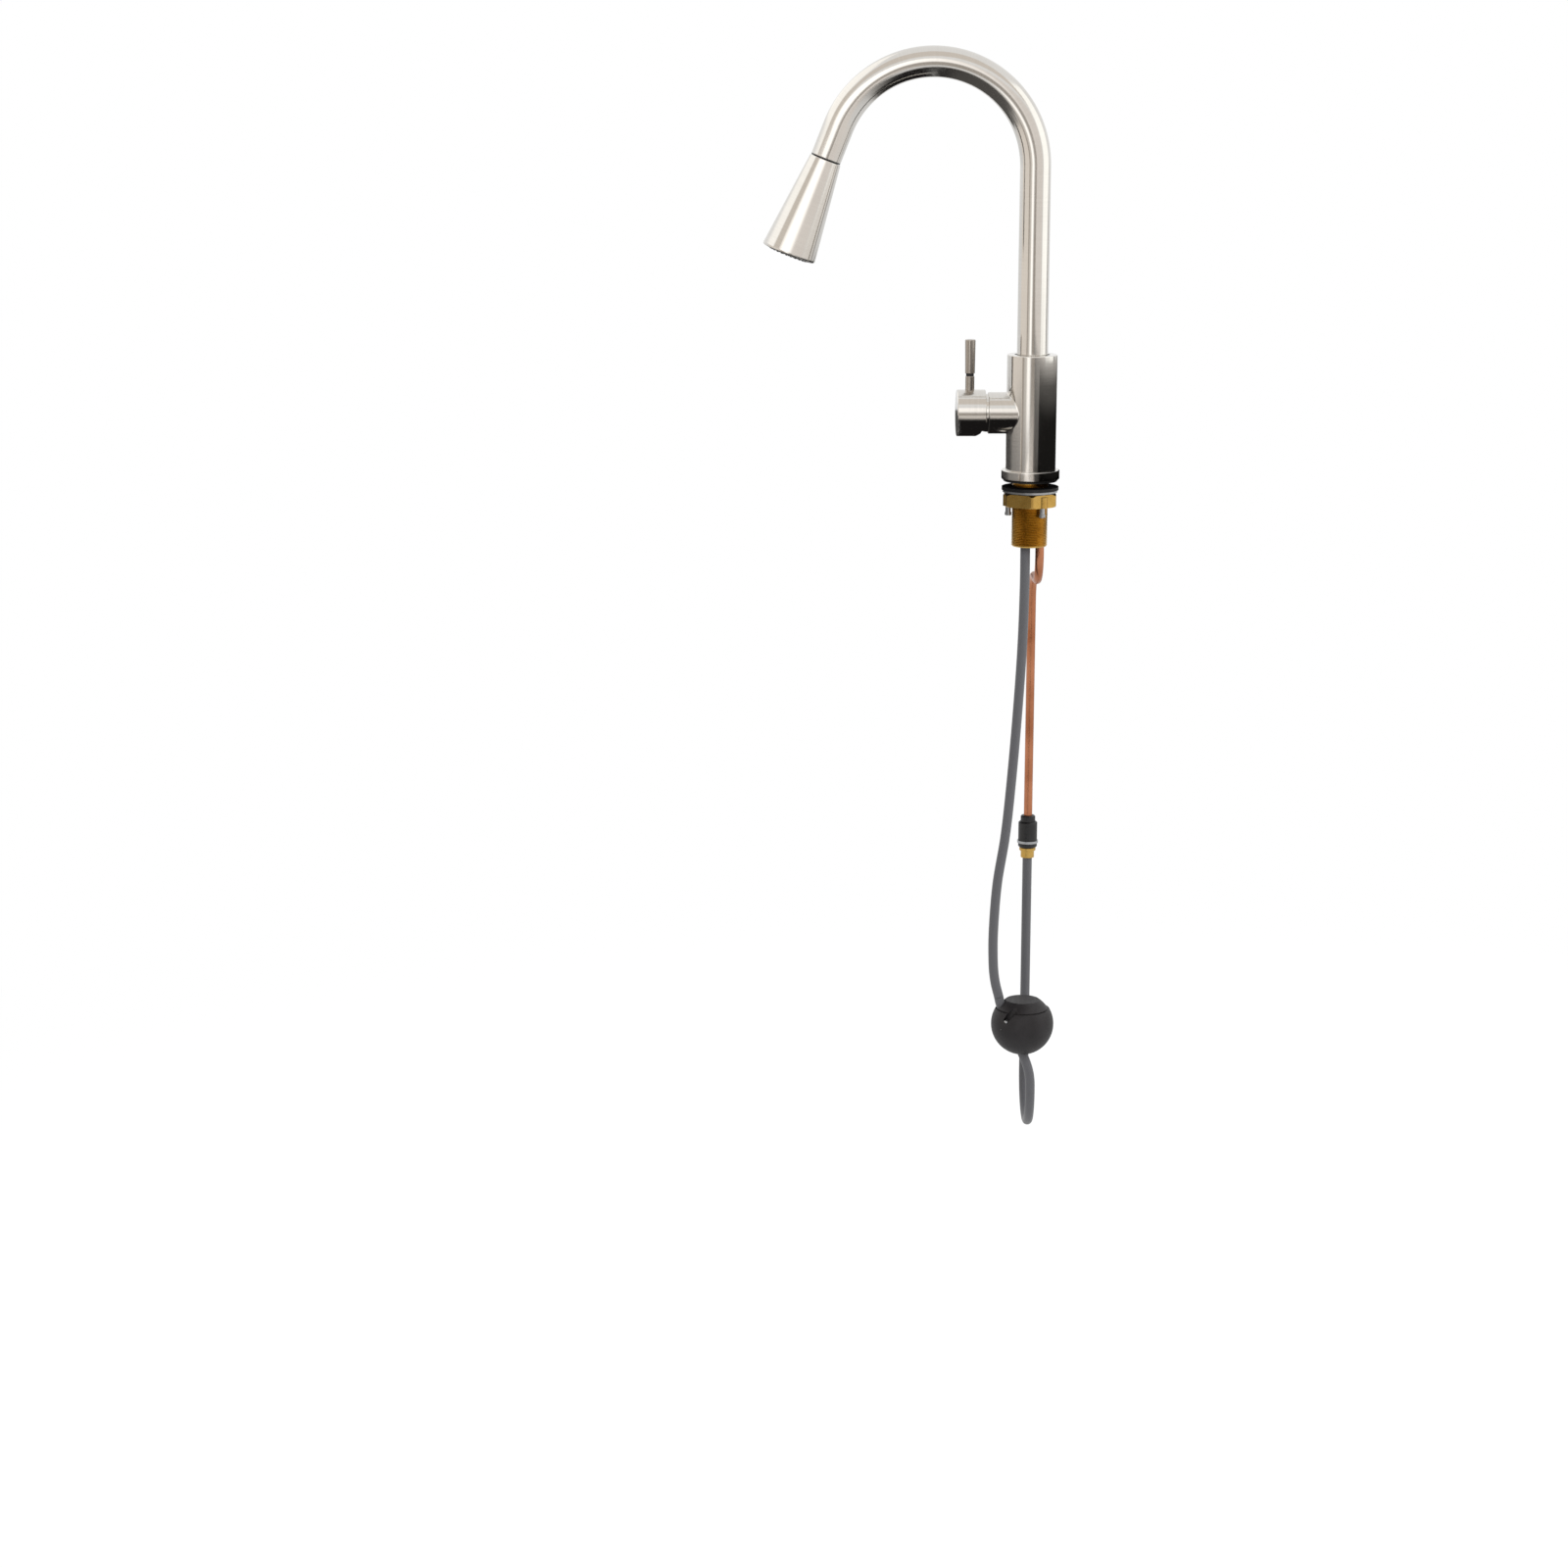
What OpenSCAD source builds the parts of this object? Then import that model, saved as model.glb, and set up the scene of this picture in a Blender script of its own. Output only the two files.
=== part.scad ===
// Pull-down kitchen mixer for a 35 mm deck hole: a gooseneck spout that swivels on a tubular body,
// a valve barrel with a pin lever, a conical spray head on a hose and a counterweight on that hose.
// Origin at the centre of the deck seat, +Z up, the spout and the lever to the front, along -Y.

/* [Body] */
// Outer diameter of the body tube
body_d = 45.6; // [44.6:0.2:48]
// Wall of the body tube
body_wall = 3; // [2.4:0.1:3.4]
// Height of the body's flat top rim over the deck
body_top_z = 115.4; // [114:0.2:124]
// Chamfer on the rims of the body, the base ring and the handle hub
rim_chamfer = 0.6; // [0.3:0.1:0.8]
// Outer diameter of the base ring
base_ring_d = 53; // [52:0.5:58]
// Height of the base ring's top edge over the deck
base_ring_z = 10.4; // [9:0.2:14]
// Bevel round the base ring's lower edge
base_bevel = 1.2; // [0.6:0.1:1.8]
// Thickness of the rubber gasket under the base ring
gasket_t = 2.6; // [2:0.1:3.2]

/* [Valve barrel] */
// Outer diameter of the valve barrel
barrel_d = 37.8; // [37:0.2:39]
// Distance from the body's axis to the barrel's front face
barrel_reach = 39.7; // [39:0.1:43]
// Height of the barrel's axis over the deck
valve_z = 62.2; // [60:0.2:63]
// Outer diameter of the ceramic cartridge
cartridge_d = 27.9; // [27.4:0.1:28.3]
// Wall of the cartridge housing
cartridge_wall = 2.3; // [2:0.1:2.6]
// Diameter of the dome nut that the handle tilts over
dome_d = 34.6; // [34:0.1:35]
// Thickness of each ceramic disc
disc_t = 3.2; // [2.6:0.1:3.4]

/* [Handle] */
// Outer diameter of the handle hub
hub_d = 42.4; // [42:0.2:46]
// Length of the handle hub
hub_l = 26.1; // [25.6:0.2:30]
// Gap between the barrel's front face and the hub
hub_gap = 2.5; // [2.2:0.1:3]
// Angle from closed to full flow
tilt_max = 20; // [14:1:21]
// Side of the cartridge's square stem
stem_side = 7; // [6:0.2:7.4]
// Diameter of the lever's lower pin
lever_d = 8.2; // [7.4:0.2:9]
// Height of the lower pin over the hub
lever_neck_l = 12.4; // [10:0.2:16]
// Thickness of the rubber ring between the lower pin and the grip
lever_ring_t = 2.4; // [1.6:0.2:3]
// Diameter of the grip at its foot
grip_foot_d = 8.8; // [8.4:0.2:10]
// Diameter of the grip at its tip
grip_tip_d = 9.6; // [9:0.2:12]
// Length of the grip
grip_l = 30.6; // [24:0.2:50]

/* [Spout] */
// Outer diameter of the spout tube
spout_d = 28; // [27:0.2:28.4]
// Wall of the spout tube
spout_wall = 1.5; // [1.2:0.1:1.8]
// Centreline radius of the gooseneck bend
bend_r = 92; // [80:1:110]
// Height of the bend's centre over the deck
bend_z = 284; // [240:1:320]
// Tilt of the spout's end away from the vertical
end_tilt = 21.5; // [16:0.5:26]
// Straight length of tube after the bend
end_straight = 29; // [26:1:45]
// Wall of the plastic bushes that the spout turns in
bush_wall = 1.9; // [1.6:0.1:2.2]
// Section of the O-rings that steady the spout
spout_seal_d = 3.4; // [3:0.1:3.6]

/* [Spray head] */
// Outer diameter of the spray head at the joint
head_top_d = 29; // [28.8:0.2:31]
// Outer diameter of the spray head at its widest
head_d = 50.6; // [48:0.2:54]
// Length of the spray head's shell
head_l = 90; // [84:1:110]
// Wall of the spray head's shell
head_wall = 1.6; // [1.2:0.1:2]
// Radius of the rounded lower rim
head_rim_r = 2.6; // [2:0.1:3.4]
// Thickness of the black flange between the spout and the spray head
dock_flange_t = 1; // [0.8:0.1:1.6]
// Amount by which the spray face stands out of the shell
face_proud = 0.4; // [0.2:0.1:1]
// Diameter of the aerator in the middle of the spray face
aerator_d = 19; // [17:0.5:20]
// Diameter of a spray nozzle
nozzle_d = 1.8; // [1.4:0.1:2]
// Height of a nozzle over the spray face
nozzle_h = 0.7; // [0.5:0.1:1.2]

/* [Hose] */
// Outer diameter of the pull-out hose
hose_d = 9; // [8.4:0.1:9.4]
// Outer diameter of the crimped ferrules on the hose's ends
ferrule_d = 11.6; // [11:0.1:12.4]
// Outer diameter of the swivel nut at the spray head
hose_nut_d = 15; // [14.6:0.1:15.4]

/* [Counterweight] */
// Diameter of the ball-shaped counterweight
weight_d = 59; // [56:0.5:62]
// Height of the flat top over the middle of the ball
weight_top = 23.6; // [22.8:0.2:24.6]
// Height of the seam over the middle of the ball
weight_seam = 15; // [13:0.5:16]
// Amount by which the cap's edge stands back from the lower part's edge
cap_step = 1.1; // [0.8:0.1:1.4]
// Lean of the hose's passage through the counterweight
bore_lean = 24; // [22:0.5:26]
// Diameter of the clamping screws' heads
weight_screw_d = 5.2; // [4.6:0.1:6]

/* [Deck fastening] */
// Thickness of the deck that is clamped
deck_t = 5; // [4.6:0.2:30]
// Outer diameter of the threaded shank
shank_d = 33; // [32:0.2:34]
// Bore of the threaded shank
shank_bore = 28; // [27.8:0.1:28.6]
// Length of shank below the deck's top face
shank_l = 60; // [58:1:90]
// Outer diameter of the washers under the deck
washer_d = 52; // [46:1:60]
// Thickness of the rubber washer under the deck
rubber_washer_t = 3; // [2:0.5:5]
// Thickness of the steel clamp washer
steel_washer_t = 2; // [1.5:0.5:3]
// Width of the mounting nut across its flats
nut_af = 46; // [44:1:50]
// Height of the mounting nut
nut_h = 12; // [10:1:16]
// Diameter of the jack screws in the mounting nut
jack_d = 4.9; // [4:0.1:5]
// Diameter of the circle that the jack screws stand on
jack_circle_d = 39.6; // [39.2:0.1:40]

/* [Water ways] */
// Core diameter of the supply hoses' threads, M10 x 1
port_d = 9.1; // [8.9:0.1:9.2]
// Depth of the supply hoses' threaded ports
port_depth = 11; // [9:0.5:14]
// Outer diameter of the outlet pipe
pipe_d = 8; // [7:0.2:8.2]
// Sideways reach of the outlet pipe below the deck
pipe_reach = 76; // [70:1:90]
// Centreline radius of the outlet pipe's bends
pipe_bend_r = 28; // [20:1:34]
// Height of the outlet pipe's lower end
pipe_end_z = -345; // [-350:1:-330]

/* [Fits] */
// Running clearance of shafts, bushes and seals
run_gap = 0.05; // [0.03:0.01:0.08]
// Clearance between seated pieces
seat_gap = 0.1; // [0.06:0.01:0.14]
// Clearance between pieces that pass each other
pass_gap = 0.3; // [0.3:0.05:0.4]

/* [Hidden] */
$fn = 96;

body_r = body_d / 2;
cavity_r = body_r - body_wall;
ring_r = base_ring_d / 2;
ring_seat_z = 1.4;
ring_floor_z = 5;
gasket_r = ring_r - base_bevel - 0.8;

barrel_r = barrel_d / 2;
cartridge_r = cartridge_d / 2;
chamber_r = cartridge_r + seat_gap;
dome_r = dome_d / 2;
dome_thread_r = dome_r - 1.9;
dome_thread_l = 5.5;
pivot_reach = barrel_reach + 0.8;
dome_front = pivot_reach + 7;
dome_mouth_r = 12;
valve_face = pivot_reach - 19.6;
core_back = 9.2;
housing_back = valve_face + 1;
housing_floor_t = 2;
housing_r = cartridge_r - cartridge_wall;
housing_front = dome_front - 1.8;
housing_lip_t = 1.6;
fixed_disc_y = housing_back + housing_floor_t;
moving_disc_y = fixed_disc_y + disc_t;
moving_disc_r = housing_r - 3.4;
port_seal_r = 3.8;
stem_arm = 7;
driver_y = moving_disc_y + disc_t;
driver_front = pivot_reach - stem_arm + 2.4;
rotor_back = driver_front + pass_gap;
rotor_front = housing_front - housing_lip_t - run_gap;
rotor_r = housing_r - seat_gap;
pin_r = 1.25;
stem_ball_r = 2.9;
slot_half = 6.4;

hub_r = hub_d / 2;
hub_back = barrel_reach + hub_gap;
hub_front = hub_back + hub_l;
hub_bore_r = dome_r + 0.8;
hub_floor = pivot_reach + 12.8;
lever_y = hub_front - 11.8;
stem_end = hub_front - 5.6;
stem_back = pivot_reach + 3;
hub_top_z = valve_z + hub_r;
lever_foot_z = valve_z + sqrt(hub_r * hub_r - lever_d * lever_d / 4) - 0.8;
lever_ring_z = hub_top_z + lever_neck_l;
grip_z = lever_ring_z + lever_ring_t;
lever_screw_r = 2.9;
grub_r = 2.45;
grub_y = stem_end - 3;

spout_r = spout_d / 2;
spout_bore_r = spout_r - spout_wall;
socket_r = spout_r + run_gap + bush_wall;
ledge_z = valve_z + barrel_r + 1;
ledge_t = 4;
socket_z = ledge_z + ledge_t;
bush_flange_t = 1;
joint_step = 0.01;
pivot_z = socket_z + bush_flange_t + run_gap;
bush_lower_top = socket_z + 3;
bush_upper_z = body_top_z - 14.4;
bush_upper_top = body_top_z - 0.6;
tube_foot_z = bush_upper_z + 3;
pivot_neck_r = 11.9;
pivot_bore_r = hose_nut_d / 2 + 0.3;
neck_foot_z = ledge_z - 3;
clip_t = 1.2;
clip_z = ledge_z - 1.5;
seal_low_z = bush_lower_top + 2.6;
seal_high_z = bush_upper_z - 2.6;
seal_groove_r = socket_r - run_gap - spout_seal_d;
arc_angle = 180 - end_tilt;
spout_end_y = -bend_r - bend_r * cos(end_tilt) - end_straight * sin(end_tilt);
spout_end_z = bend_z + bend_r * sin(end_tilt) - end_straight * cos(end_tilt);

dock_r = 10.8;
spigot_r = dock_r - run_gap;
spigot_l = 18;
dock_l = 24;
head_start = dock_flange_t + pass_gap;
head_end = head_start + head_l;
head_top_r = head_top_d / 2;
head_r = head_d / 2;
head_slope = atan((head_r - head_top_r) / head_l);
nut_r = hose_nut_d / 2;
nut_socket_r = nut_r + run_gap;
nut_end = 6;
ferrule_r = ferrule_d / 2;
nut_back = -13;
ferrule_end = -end_straight + 1;
valve_start = nut_end + 2.4;
face_r = head_r - 4.6;
face_t = 4.4 + face_proud;
face_end = head_end + face_proud;
face_start = face_end - face_t;
chamber_start = face_start - 12;
shell_end_r = head_r - head_wall - 0.5;
aerator_r = aerator_d / 2;
nozzle_r = nozzle_d / 2;

hose_r = hose_d / 2;
hose_sides = 12;
hose_break = 0.3;
hose_swivel_z = neck_foot_z - 4;
hose_lane_y = -3.5;
hose_lane_z = 30;
shank_bore_r = shank_bore / 2;
shank_r = shank_d / 2;
shank_foot_z = -shank_l;
port_r = port_d / 2;
port_circle_r = shank_bore_r - port_r - 0.2;
port_angle = 16;
port_x = port_circle_r * cos(port_angle);
port_y = port_circle_r * sin(port_angle);
pipe_r = pipe_d / 2;
pipe_lane_y = shank_bore_r - pipe_r - 0.2;
pipe_top_z = ring_floor_z + 18;
pipe_bend_z = shank_foot_z - 8;
pipe_level_z = pipe_bend_z - pipe_bend_r;
core_top_z = ring_floor_z + 23;
core_shank_l = 10;
core_r = cavity_r - seat_gap;
port_top_z = ring_floor_z + core_shank_l + port_depth;

washer_r = washer_d / 2;
rubber_z = -deck_t - rubber_washer_t;
steel_z = rubber_z - steel_washer_t;
nut_z = steel_z - nut_h - 0.8;
jack_count = 3;

weight_r = weight_d / 2;
cap_r = weight_r - cap_step;
weight_c = [0, 1.2, -516.8];
weight_entry = [0, -20, -497.6];
weight_bore_r = hose_r + pass_gap;

coupling_r = 9;
coupling_z = pipe_end_z + 7;
coupling_l = 28;
plug_r = 6.4;
plug_l = 26;

// Route of the hose from the shank's mouth down to the counterweight
drop_route = [
    [0, -3.5, -60],
    [0, -3.5, -100],
    [0, -4.8, -155],
    [0, -8, -215],
    [0, -12.6, -280],
    [0, -17.6, -334],
    [0, -24.4, -380],
    [0, -27.3, -424],
    [0, -27.2, -455],
    [0, -25.4, -474],
    [0, -21.4, -490.6]
];
// Route of the hose through the counterweight and on to the loop
tail_route = [
    [0, -19.2, -499],
    [0, -12.4, -514.6],
    [0, -4.4, -532.6],
    [0, 3.4, -550],
    [0, 7.6, -562],
    [0, 9.5, -573],
    [0, 9.8, -584.6]
];
route_steps = 3;
loop_y = 9.8;
loop_z = -585;
loop_r = pipe_reach / 2;

// Ring or tube along +Z from height z
module ring(r_out, r_in, z, h) {
    translate([0, 0, z])
        difference() {
            cylinder(r = r_out, h = h);
            translate([0, 0, -1])
                cylinder(r = r_in, h = h + 2);
        }
}

// Disc along +Z from height z, with a chamfer c at its top and a chamfer b at its foot
module rod(r, z, h, c = 0, b = 0) {
    translate([0, 0, z])
        rotate_extrude()
            polygon([[0, 0], [r - b, 0], [r, b], [r, h - c], [r - c, h], [0, h]]);
}

// O-ring round the Z axis
module o_ring(r_mid, r_section, z) {
    translate([0, 0, z])
        rotate_extrude()
            translate([r_mid, 0])
                circle(r = r_section, $fn = 32);
}

// Frame of the valve: local +Z runs forward from the body's axis, local +Y is up
module valve_frame() {
    translate([0, 0, valve_z])
        rotate([90, 0, 0])
            children();
}

// Frame of the spray head: local +Z runs out of the spout's end
module head_frame() {
    translate([0, spout_end_y, spout_end_z])
        rotate([180 - end_tilt, 0, 0])
            children();
}

// Frame of the gooseneck: local XY is the plane of the bend, local Z lies across it
module bend_frame() {
    translate([0, -bend_r, bend_z])
        rotate([90, 0, 90])
            children();
}

// Solid rod that follows the gooseneck from height foot_z to s along the spray head's axis
module spout_path(r, foot_z, s) {
    translate([0, 0, foot_z])
        cylinder(r = r, h = bend_z - foot_z);
    bend_frame()
        rotate_extrude(angle = arc_angle)
            translate([bend_r, 0])
                circle(r = r);
    head_frame()
        translate([0, 0, -end_straight - 2 * joint_step])
            cylinder(r = r + joint_step, h = end_straight + s + 2 * joint_step);
}

// Point t of the way between p1 and p2 on a smooth curve through p0, p1, p2 and p3
function spline_point(p0, p1, p2, p3, t) =
    0.5 * (2 * p1 + (p2 - p0) * t + (2 * p0 - 5 * p1 + 4 * p2 - p3) * t * t
        + (3 * p1 - p0 - 3 * p2 + p3) * t * t * t);

// Smooth curve through a route's points, with n steps between neighbours
function smooth_route(route, n) = [
    for (i = [0:len(route) - 2])
        for (k = [0:n - 1])
            spline_point(
                route[max(i - 1, 0)], route[i], route[i + 1], route[min(i + 2, len(route) - 1)], k / n
            ),
    route[len(route) - 1]
];

// Direction of a path at its point i
function path_way(path, i) =
    let (d = path[min(i + 1, len(path) - 1)] - path[max(i - 1, 0)])
    d / norm(d);

// Closed tube solid swept along a path in a plane across the direction side
module swept(path, r, side, n = hose_sides) {
    points = [
        for (i = [0:len(path) - 1])
            let (up = cross(side, path_way(path, i)))
            for (k = [0:n - 1])
                path[i] + r * (cos(360 * k / n) * side + sin(360 * k / n) * up)
    ];
    last = len(path) - 1;
    walls = [
        for (i = [0:last - 1])
            for (k = [0:n - 1])
                [i * n + k, (i + 1) * n + k, (i + 1) * n + (k + 1) % n, i * n + (k + 1) % n]
    ];
    polyhedron(
        points = points,
        faces = concat(walls, [[for (k = [0:n - 1]) k]], [[for (k = [n - 1:-1:0]) last * n + k]]),
        convexity = 6
    );
}

// Rubber gasket in the base ring's underside
module base_gasket() {
    color([0.06, 0.06, 0.06])
        ring(gasket_r, shank_r + 1, 0, gasket_t);
}

// Steel ring that carries the body and hides the gasket
module base_ring() {
    color([0.7, 0.67, 0.63])
        difference() {
            rod(ring_r, ring_seat_z, base_ring_z - ring_seat_z, rim_chamfer, base_bevel);
            translate([0, 0, ring_floor_z])
                cylinder(r = body_r + run_gap, h = base_ring_z);
            cylinder(r = gasket_r + seat_gap, h = gasket_t);
            cylinder(r = shank_r + pass_gap, h = base_ring_z);
        }
}

// Body tube with the welded valve barrel and the socket for the spout
module faucet_body() {
    color([0.72, 0.69, 0.65])
        difference() {
            union() {
                rod(body_r, ring_floor_z, body_top_z - ring_floor_z, rim_chamfer);
                valve_frame()
                    rod(barrel_r, 0, barrel_reach, rim_chamfer);
            }
            cylinder(r = cavity_r, h = ledge_z);
            cylinder(r = pivot_neck_r + pass_gap, h = body_top_z);
            translate([0, 0, socket_z])
                cylinder(r = socket_r + run_gap, h = body_top_z);
            valve_frame() {
                cylinder(r = chamber_r, h = barrel_reach + 1);
                translate([0, 0, barrel_reach - dome_thread_l])
                    cylinder(r = dome_thread_r + seat_gap, h = dome_thread_l + 1);
            }
        }
}

// Brass casting with the supply ports, the hose's passage and the cartridge's seat
module waterway_core() {
    riser_w = 15;
    riser_l = valve_face - core_back - 3.3;
    color([0.78, 0.62, 0.3])
        difference() {
            union() {
                rod(core_r, ring_floor_z, core_top_z - ring_floor_z, 0.8, 0.8);
                valve_frame()
                    rod(cartridge_r, core_back, valve_face - core_back, 0.4, 0.4);
                translate([-riser_w / 2, -core_back - riser_l, core_top_z - 1])
                    cube([riser_w, riser_l, valve_z - core_top_z - 4]);
            }
            translate([0, 0, ring_floor_z - 1])
                cylinder(r = shank_r + seat_gap, h = core_shank_l + 1);
            translate([0, hose_lane_y, ring_floor_z])
                cylinder(r = hose_r + pass_gap + 0.3, h = core_top_z);
            for (x = [-port_x, port_x])
                translate([x, port_y, ring_floor_z])
                    cylinder(r = port_r, h = port_top_z - ring_floor_z);
            translate([0, pipe_lane_y, ring_floor_z])
                cylinder(r = pipe_r + run_gap, h = pipe_top_z - ring_floor_z);
            core_groove();
            port_holes(valve_face - 4, 5);
        }
}

// Groove round the waterway core for its O-ring
module core_groove() {
    ring(core_r + 1, core_r - 1.7, core_top_z - 6.4, 2.6);
}

// Hot, cold and outlet holes along the cartridge's axis
module port_holes(y, h, r = 2.6) {
    valve_frame()
        for (p = [[-5.6, 3.2], [5.6, 3.2], [0, -6.4]])
            translate([p[0], p[1], y])
                cylinder(r = r, h = h, $fn = 48);
}

// O-ring between the waterway core and the body
module core_seals() {
    color([0.05, 0.05, 0.05])
        o_ring(core_r - 0.8 + run_gap, 0.8, core_top_z - 5.1);
}

// Threaded shank that passes the deck hole
module threaded_shank() {
    thread_end = 1;
    color([0.76, 0.6, 0.3])
        difference() {
            rod(shank_r, shank_foot_z, ring_floor_z + core_shank_l - shank_foot_z, thread_end, thread_end);
            translate([0, 0, shank_foot_z - 1])
                cylinder(r = shank_bore_r, h = shank_l + ring_floor_z + core_shank_l + 2);
        }
}

// Rubber washer that bears on the deck's underside
module deck_washer_rubber() {
    color([0.08, 0.08, 0.08])
        ring(washer_r, shank_r + pass_gap, rubber_z, rubber_washer_t);
}

// Steel washer that spreads the jack screws' load
module deck_washer_steel() {
    color([0.62, 0.62, 0.62])
        ring(washer_r - 1, shank_r + pass_gap, steel_z, steel_washer_t);
}

// Places something at each jack screw
module jack_places() {
    for (i = [0:jack_count - 1])
        rotate([0, 0, 360 * i / jack_count + 30])
            translate([jack_circle_d / 2, 0, 0])
                children();
}

// Hexagon nut on the shank, with bosses for the jack screws
module mounting_nut() {
    boss_r = jack_d / 2 + 2.4;
    color([0.72, 0.57, 0.28])
        difference() {
            union() {
                intersection() {
                    translate([0, 0, nut_z])
                        cylinder(r = nut_af / sqrt(3), h = nut_h, $fn = 6);
                    rod(nut_af / sqrt(3) - 0.6, nut_z, nut_h, 1.4, 1.4);
                }
                jack_places()
                    translate([0, 0, nut_z])
                        cylinder(r = boss_r, h = nut_h - 2);
            }
            translate([0, 0, nut_z - 1])
                cylinder(r = shank_r + run_gap, h = nut_h + 2);
            jack_places()
                translate([0, 0, nut_z - 1])
                    cylinder(r = jack_d / 2 + run_gap, h = nut_h + 2);
        }
}

// Three jack screws that press the washers up against the deck
module jack_screws() {
    slot_w = 1;
    jack_head_r = jack_circle_d / 2 - shank_r - pass_gap;
    color([0.55, 0.55, 0.56])
        jack_places()
            difference() {
                union() {
                    rod(jack_d / 2, nut_z - 6, steel_z - nut_z + 6, 0.4);
                    rod(jack_head_r, nut_z - 9, 3, 0, 0.5);
                }
                translate([-jack_d, -slot_w / 2, nut_z - 10])
                    cube([2 * jack_d, slot_w, 2.2]);
            }
}

// Upper plastic bush of the spout's swivel
module bush_upper() {
    color([0.12, 0.12, 0.12])
        ring(socket_r, spout_r + run_gap, bush_upper_z, bush_upper_top - bush_upper_z);
}

// Lower plastic bush of the spout's swivel, with a thrust flange
module bush_lower() {
    color([0.12, 0.12, 0.12]) {
        ring(socket_r, pivot_neck_r + pass_gap, socket_z, bush_flange_t);
        ring(socket_r, spout_r + run_gap, socket_z + bush_flange_t, bush_lower_top - socket_z - bush_flange_t);
    }
}

// Plastic cup of the cartridge
module cartridge_housing() {
    color([0.85, 0.85, 0.82])
        difference() {
            valve_frame()
                difference() {
                    union() {
                        translate([0, 0, housing_back])
                            cylinder(r = cartridge_r, h = barrel_reach - housing_back);
                        translate([0, 0, housing_back])
                            cylinder(r = cartridge_r - 0.9, h = housing_front - housing_back);
                    }
                    translate([0, 0, fixed_disc_y])
                        cylinder(r = housing_r, h = housing_front - housing_lip_t - fixed_disc_y);
                    translate([0, 0, fixed_disc_y])
                        cylinder(r = housing_r - 1.6, h = housing_front);
                }
            port_holes(housing_back - 1, housing_floor_t + 2, port_seal_r + 0.2);
        }
}

// Rubber seals between the core and the cartridge, one at each port
module port_seals() {
    color([0.05, 0.05, 0.05])
        difference() {
            port_holes(valve_face, fixed_disc_y - valve_face, port_seal_r);
            port_holes(valve_face - 1, 6, 2.6);
        }
}

// Fixed ceramic disc
module fixed_disc() {
    color([0.93, 0.93, 0.9])
        difference() {
            valve_frame()
                translate([0, 0, fixed_disc_y])
                    cylinder(r = housing_r - seat_gap, h = disc_t - run_gap);
            port_holes(fixed_disc_y - 1, disc_t + 2);
        }
}

// Domed nut that holds the cartridge in the barrel
module dome_nut() {
    color([0.74, 0.72, 0.68])
        valve_frame()
            difference() {
                union() {
                    intersection() {
                        translate([0, 0, pivot_reach])
                            sphere(r = dome_r);
                        translate([0, 0, barrel_reach])
                            cylinder(r = dome_r + 1, h = dome_front - barrel_reach);
                    }
                    translate([0, 0, barrel_reach - dome_thread_l])
                        cylinder(r = dome_thread_r, h = dome_thread_l + 1);
                }
                cylinder(r = chamber_r, h = barrel_reach + seat_gap);
                cylinder(r = cartridge_r - 0.9 + seat_gap, h = housing_front);
                cylinder(r = dome_mouth_r - 1.4, h = dome_front + 1);
            }
}

// Copper pipe that carries the mixed water down past the deck
module outlet_pipe() {
    pipe_wall = 1;
    color([0.72, 0.45, 0.28])
        difference() {
            outlet_path(pipe_r);
            outlet_path(pipe_r - pipe_wall, 1);
        }
}

// Rod along the outlet pipe's centreline, e longer at each end
module outlet_path(r, e = 0) {
    far_z = pipe_level_z - pipe_bend_r;
    translate([0, pipe_lane_y, pipe_bend_z])
        cylinder(r = r, h = pipe_top_z - pipe_bend_z + e);
    translate([-pipe_bend_r, pipe_lane_y, pipe_bend_z])
        pipe_bend(r, -90);
    translate([-pipe_reach + pipe_bend_r, pipe_lane_y, pipe_level_z])
        rotate([0, 90, 0])
            cylinder(r = r, h = pipe_reach - 2 * pipe_bend_r);
    translate([-pipe_reach + pipe_bend_r, pipe_lane_y, far_z])
        pipe_bend(r, 90);
    translate([-pipe_reach, pipe_lane_y, pipe_end_z - e])
        cylinder(r = r, h = far_z - pipe_end_z + e);
}

// Quarter bend of the outlet pipe, from the angle given
module pipe_bend(r, from) {
    rotate([90, 0, 0])
        rotate([0, 0, from])
            rotate_extrude(angle = 90)
                translate([pipe_bend_r, 0])
                    circle(r = r);
}

// Push-fit coupling on the outlet pipe's lower end
module pipe_coupling() {
    color([0.1, 0.1, 0.1])
        translate([-pipe_reach, pipe_lane_y, 0])
            difference() {
                union() {
                    rod(coupling_r - 2, coupling_z, 6, 1);
                    rod(coupling_r, coupling_z - coupling_l + 3, coupling_l - 3, 1, 1);
                }
                translate([0, 0, pipe_end_z])
                    cylinder(r = pipe_r + run_gap, h = coupling_l);
                translate([0, 0, coupling_z - coupling_l])
                    cylinder(r = plug_r + run_gap, h = pipe_end_z - coupling_z + coupling_l - 1);
                translate([0, 0, coupling_z - coupling_l])
                    cylinder(r = pipe_r - 1, h = coupling_l);
                coupling_slot();
            }
}

// Groove round the coupling for its clip
module coupling_slot() {
    ring(coupling_r + 1, coupling_r - 1.4, coupling_z - coupling_l + 7, 3);
}

// Open spring clip that locks the hose's plug in the coupling
module coupling_clip() {
    color([0.75, 0.75, 0.74])
        translate([-pipe_reach, pipe_lane_y, 0])
            difference() {
                ring(coupling_r + 1, coupling_r - 1.4 + run_gap, coupling_z - coupling_l + 7.3, 2.4);
                translate([-coupling_r - 2, -4, coupling_z - coupling_l])
                    cube([coupling_r, 8, coupling_l]);
            }
}

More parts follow.
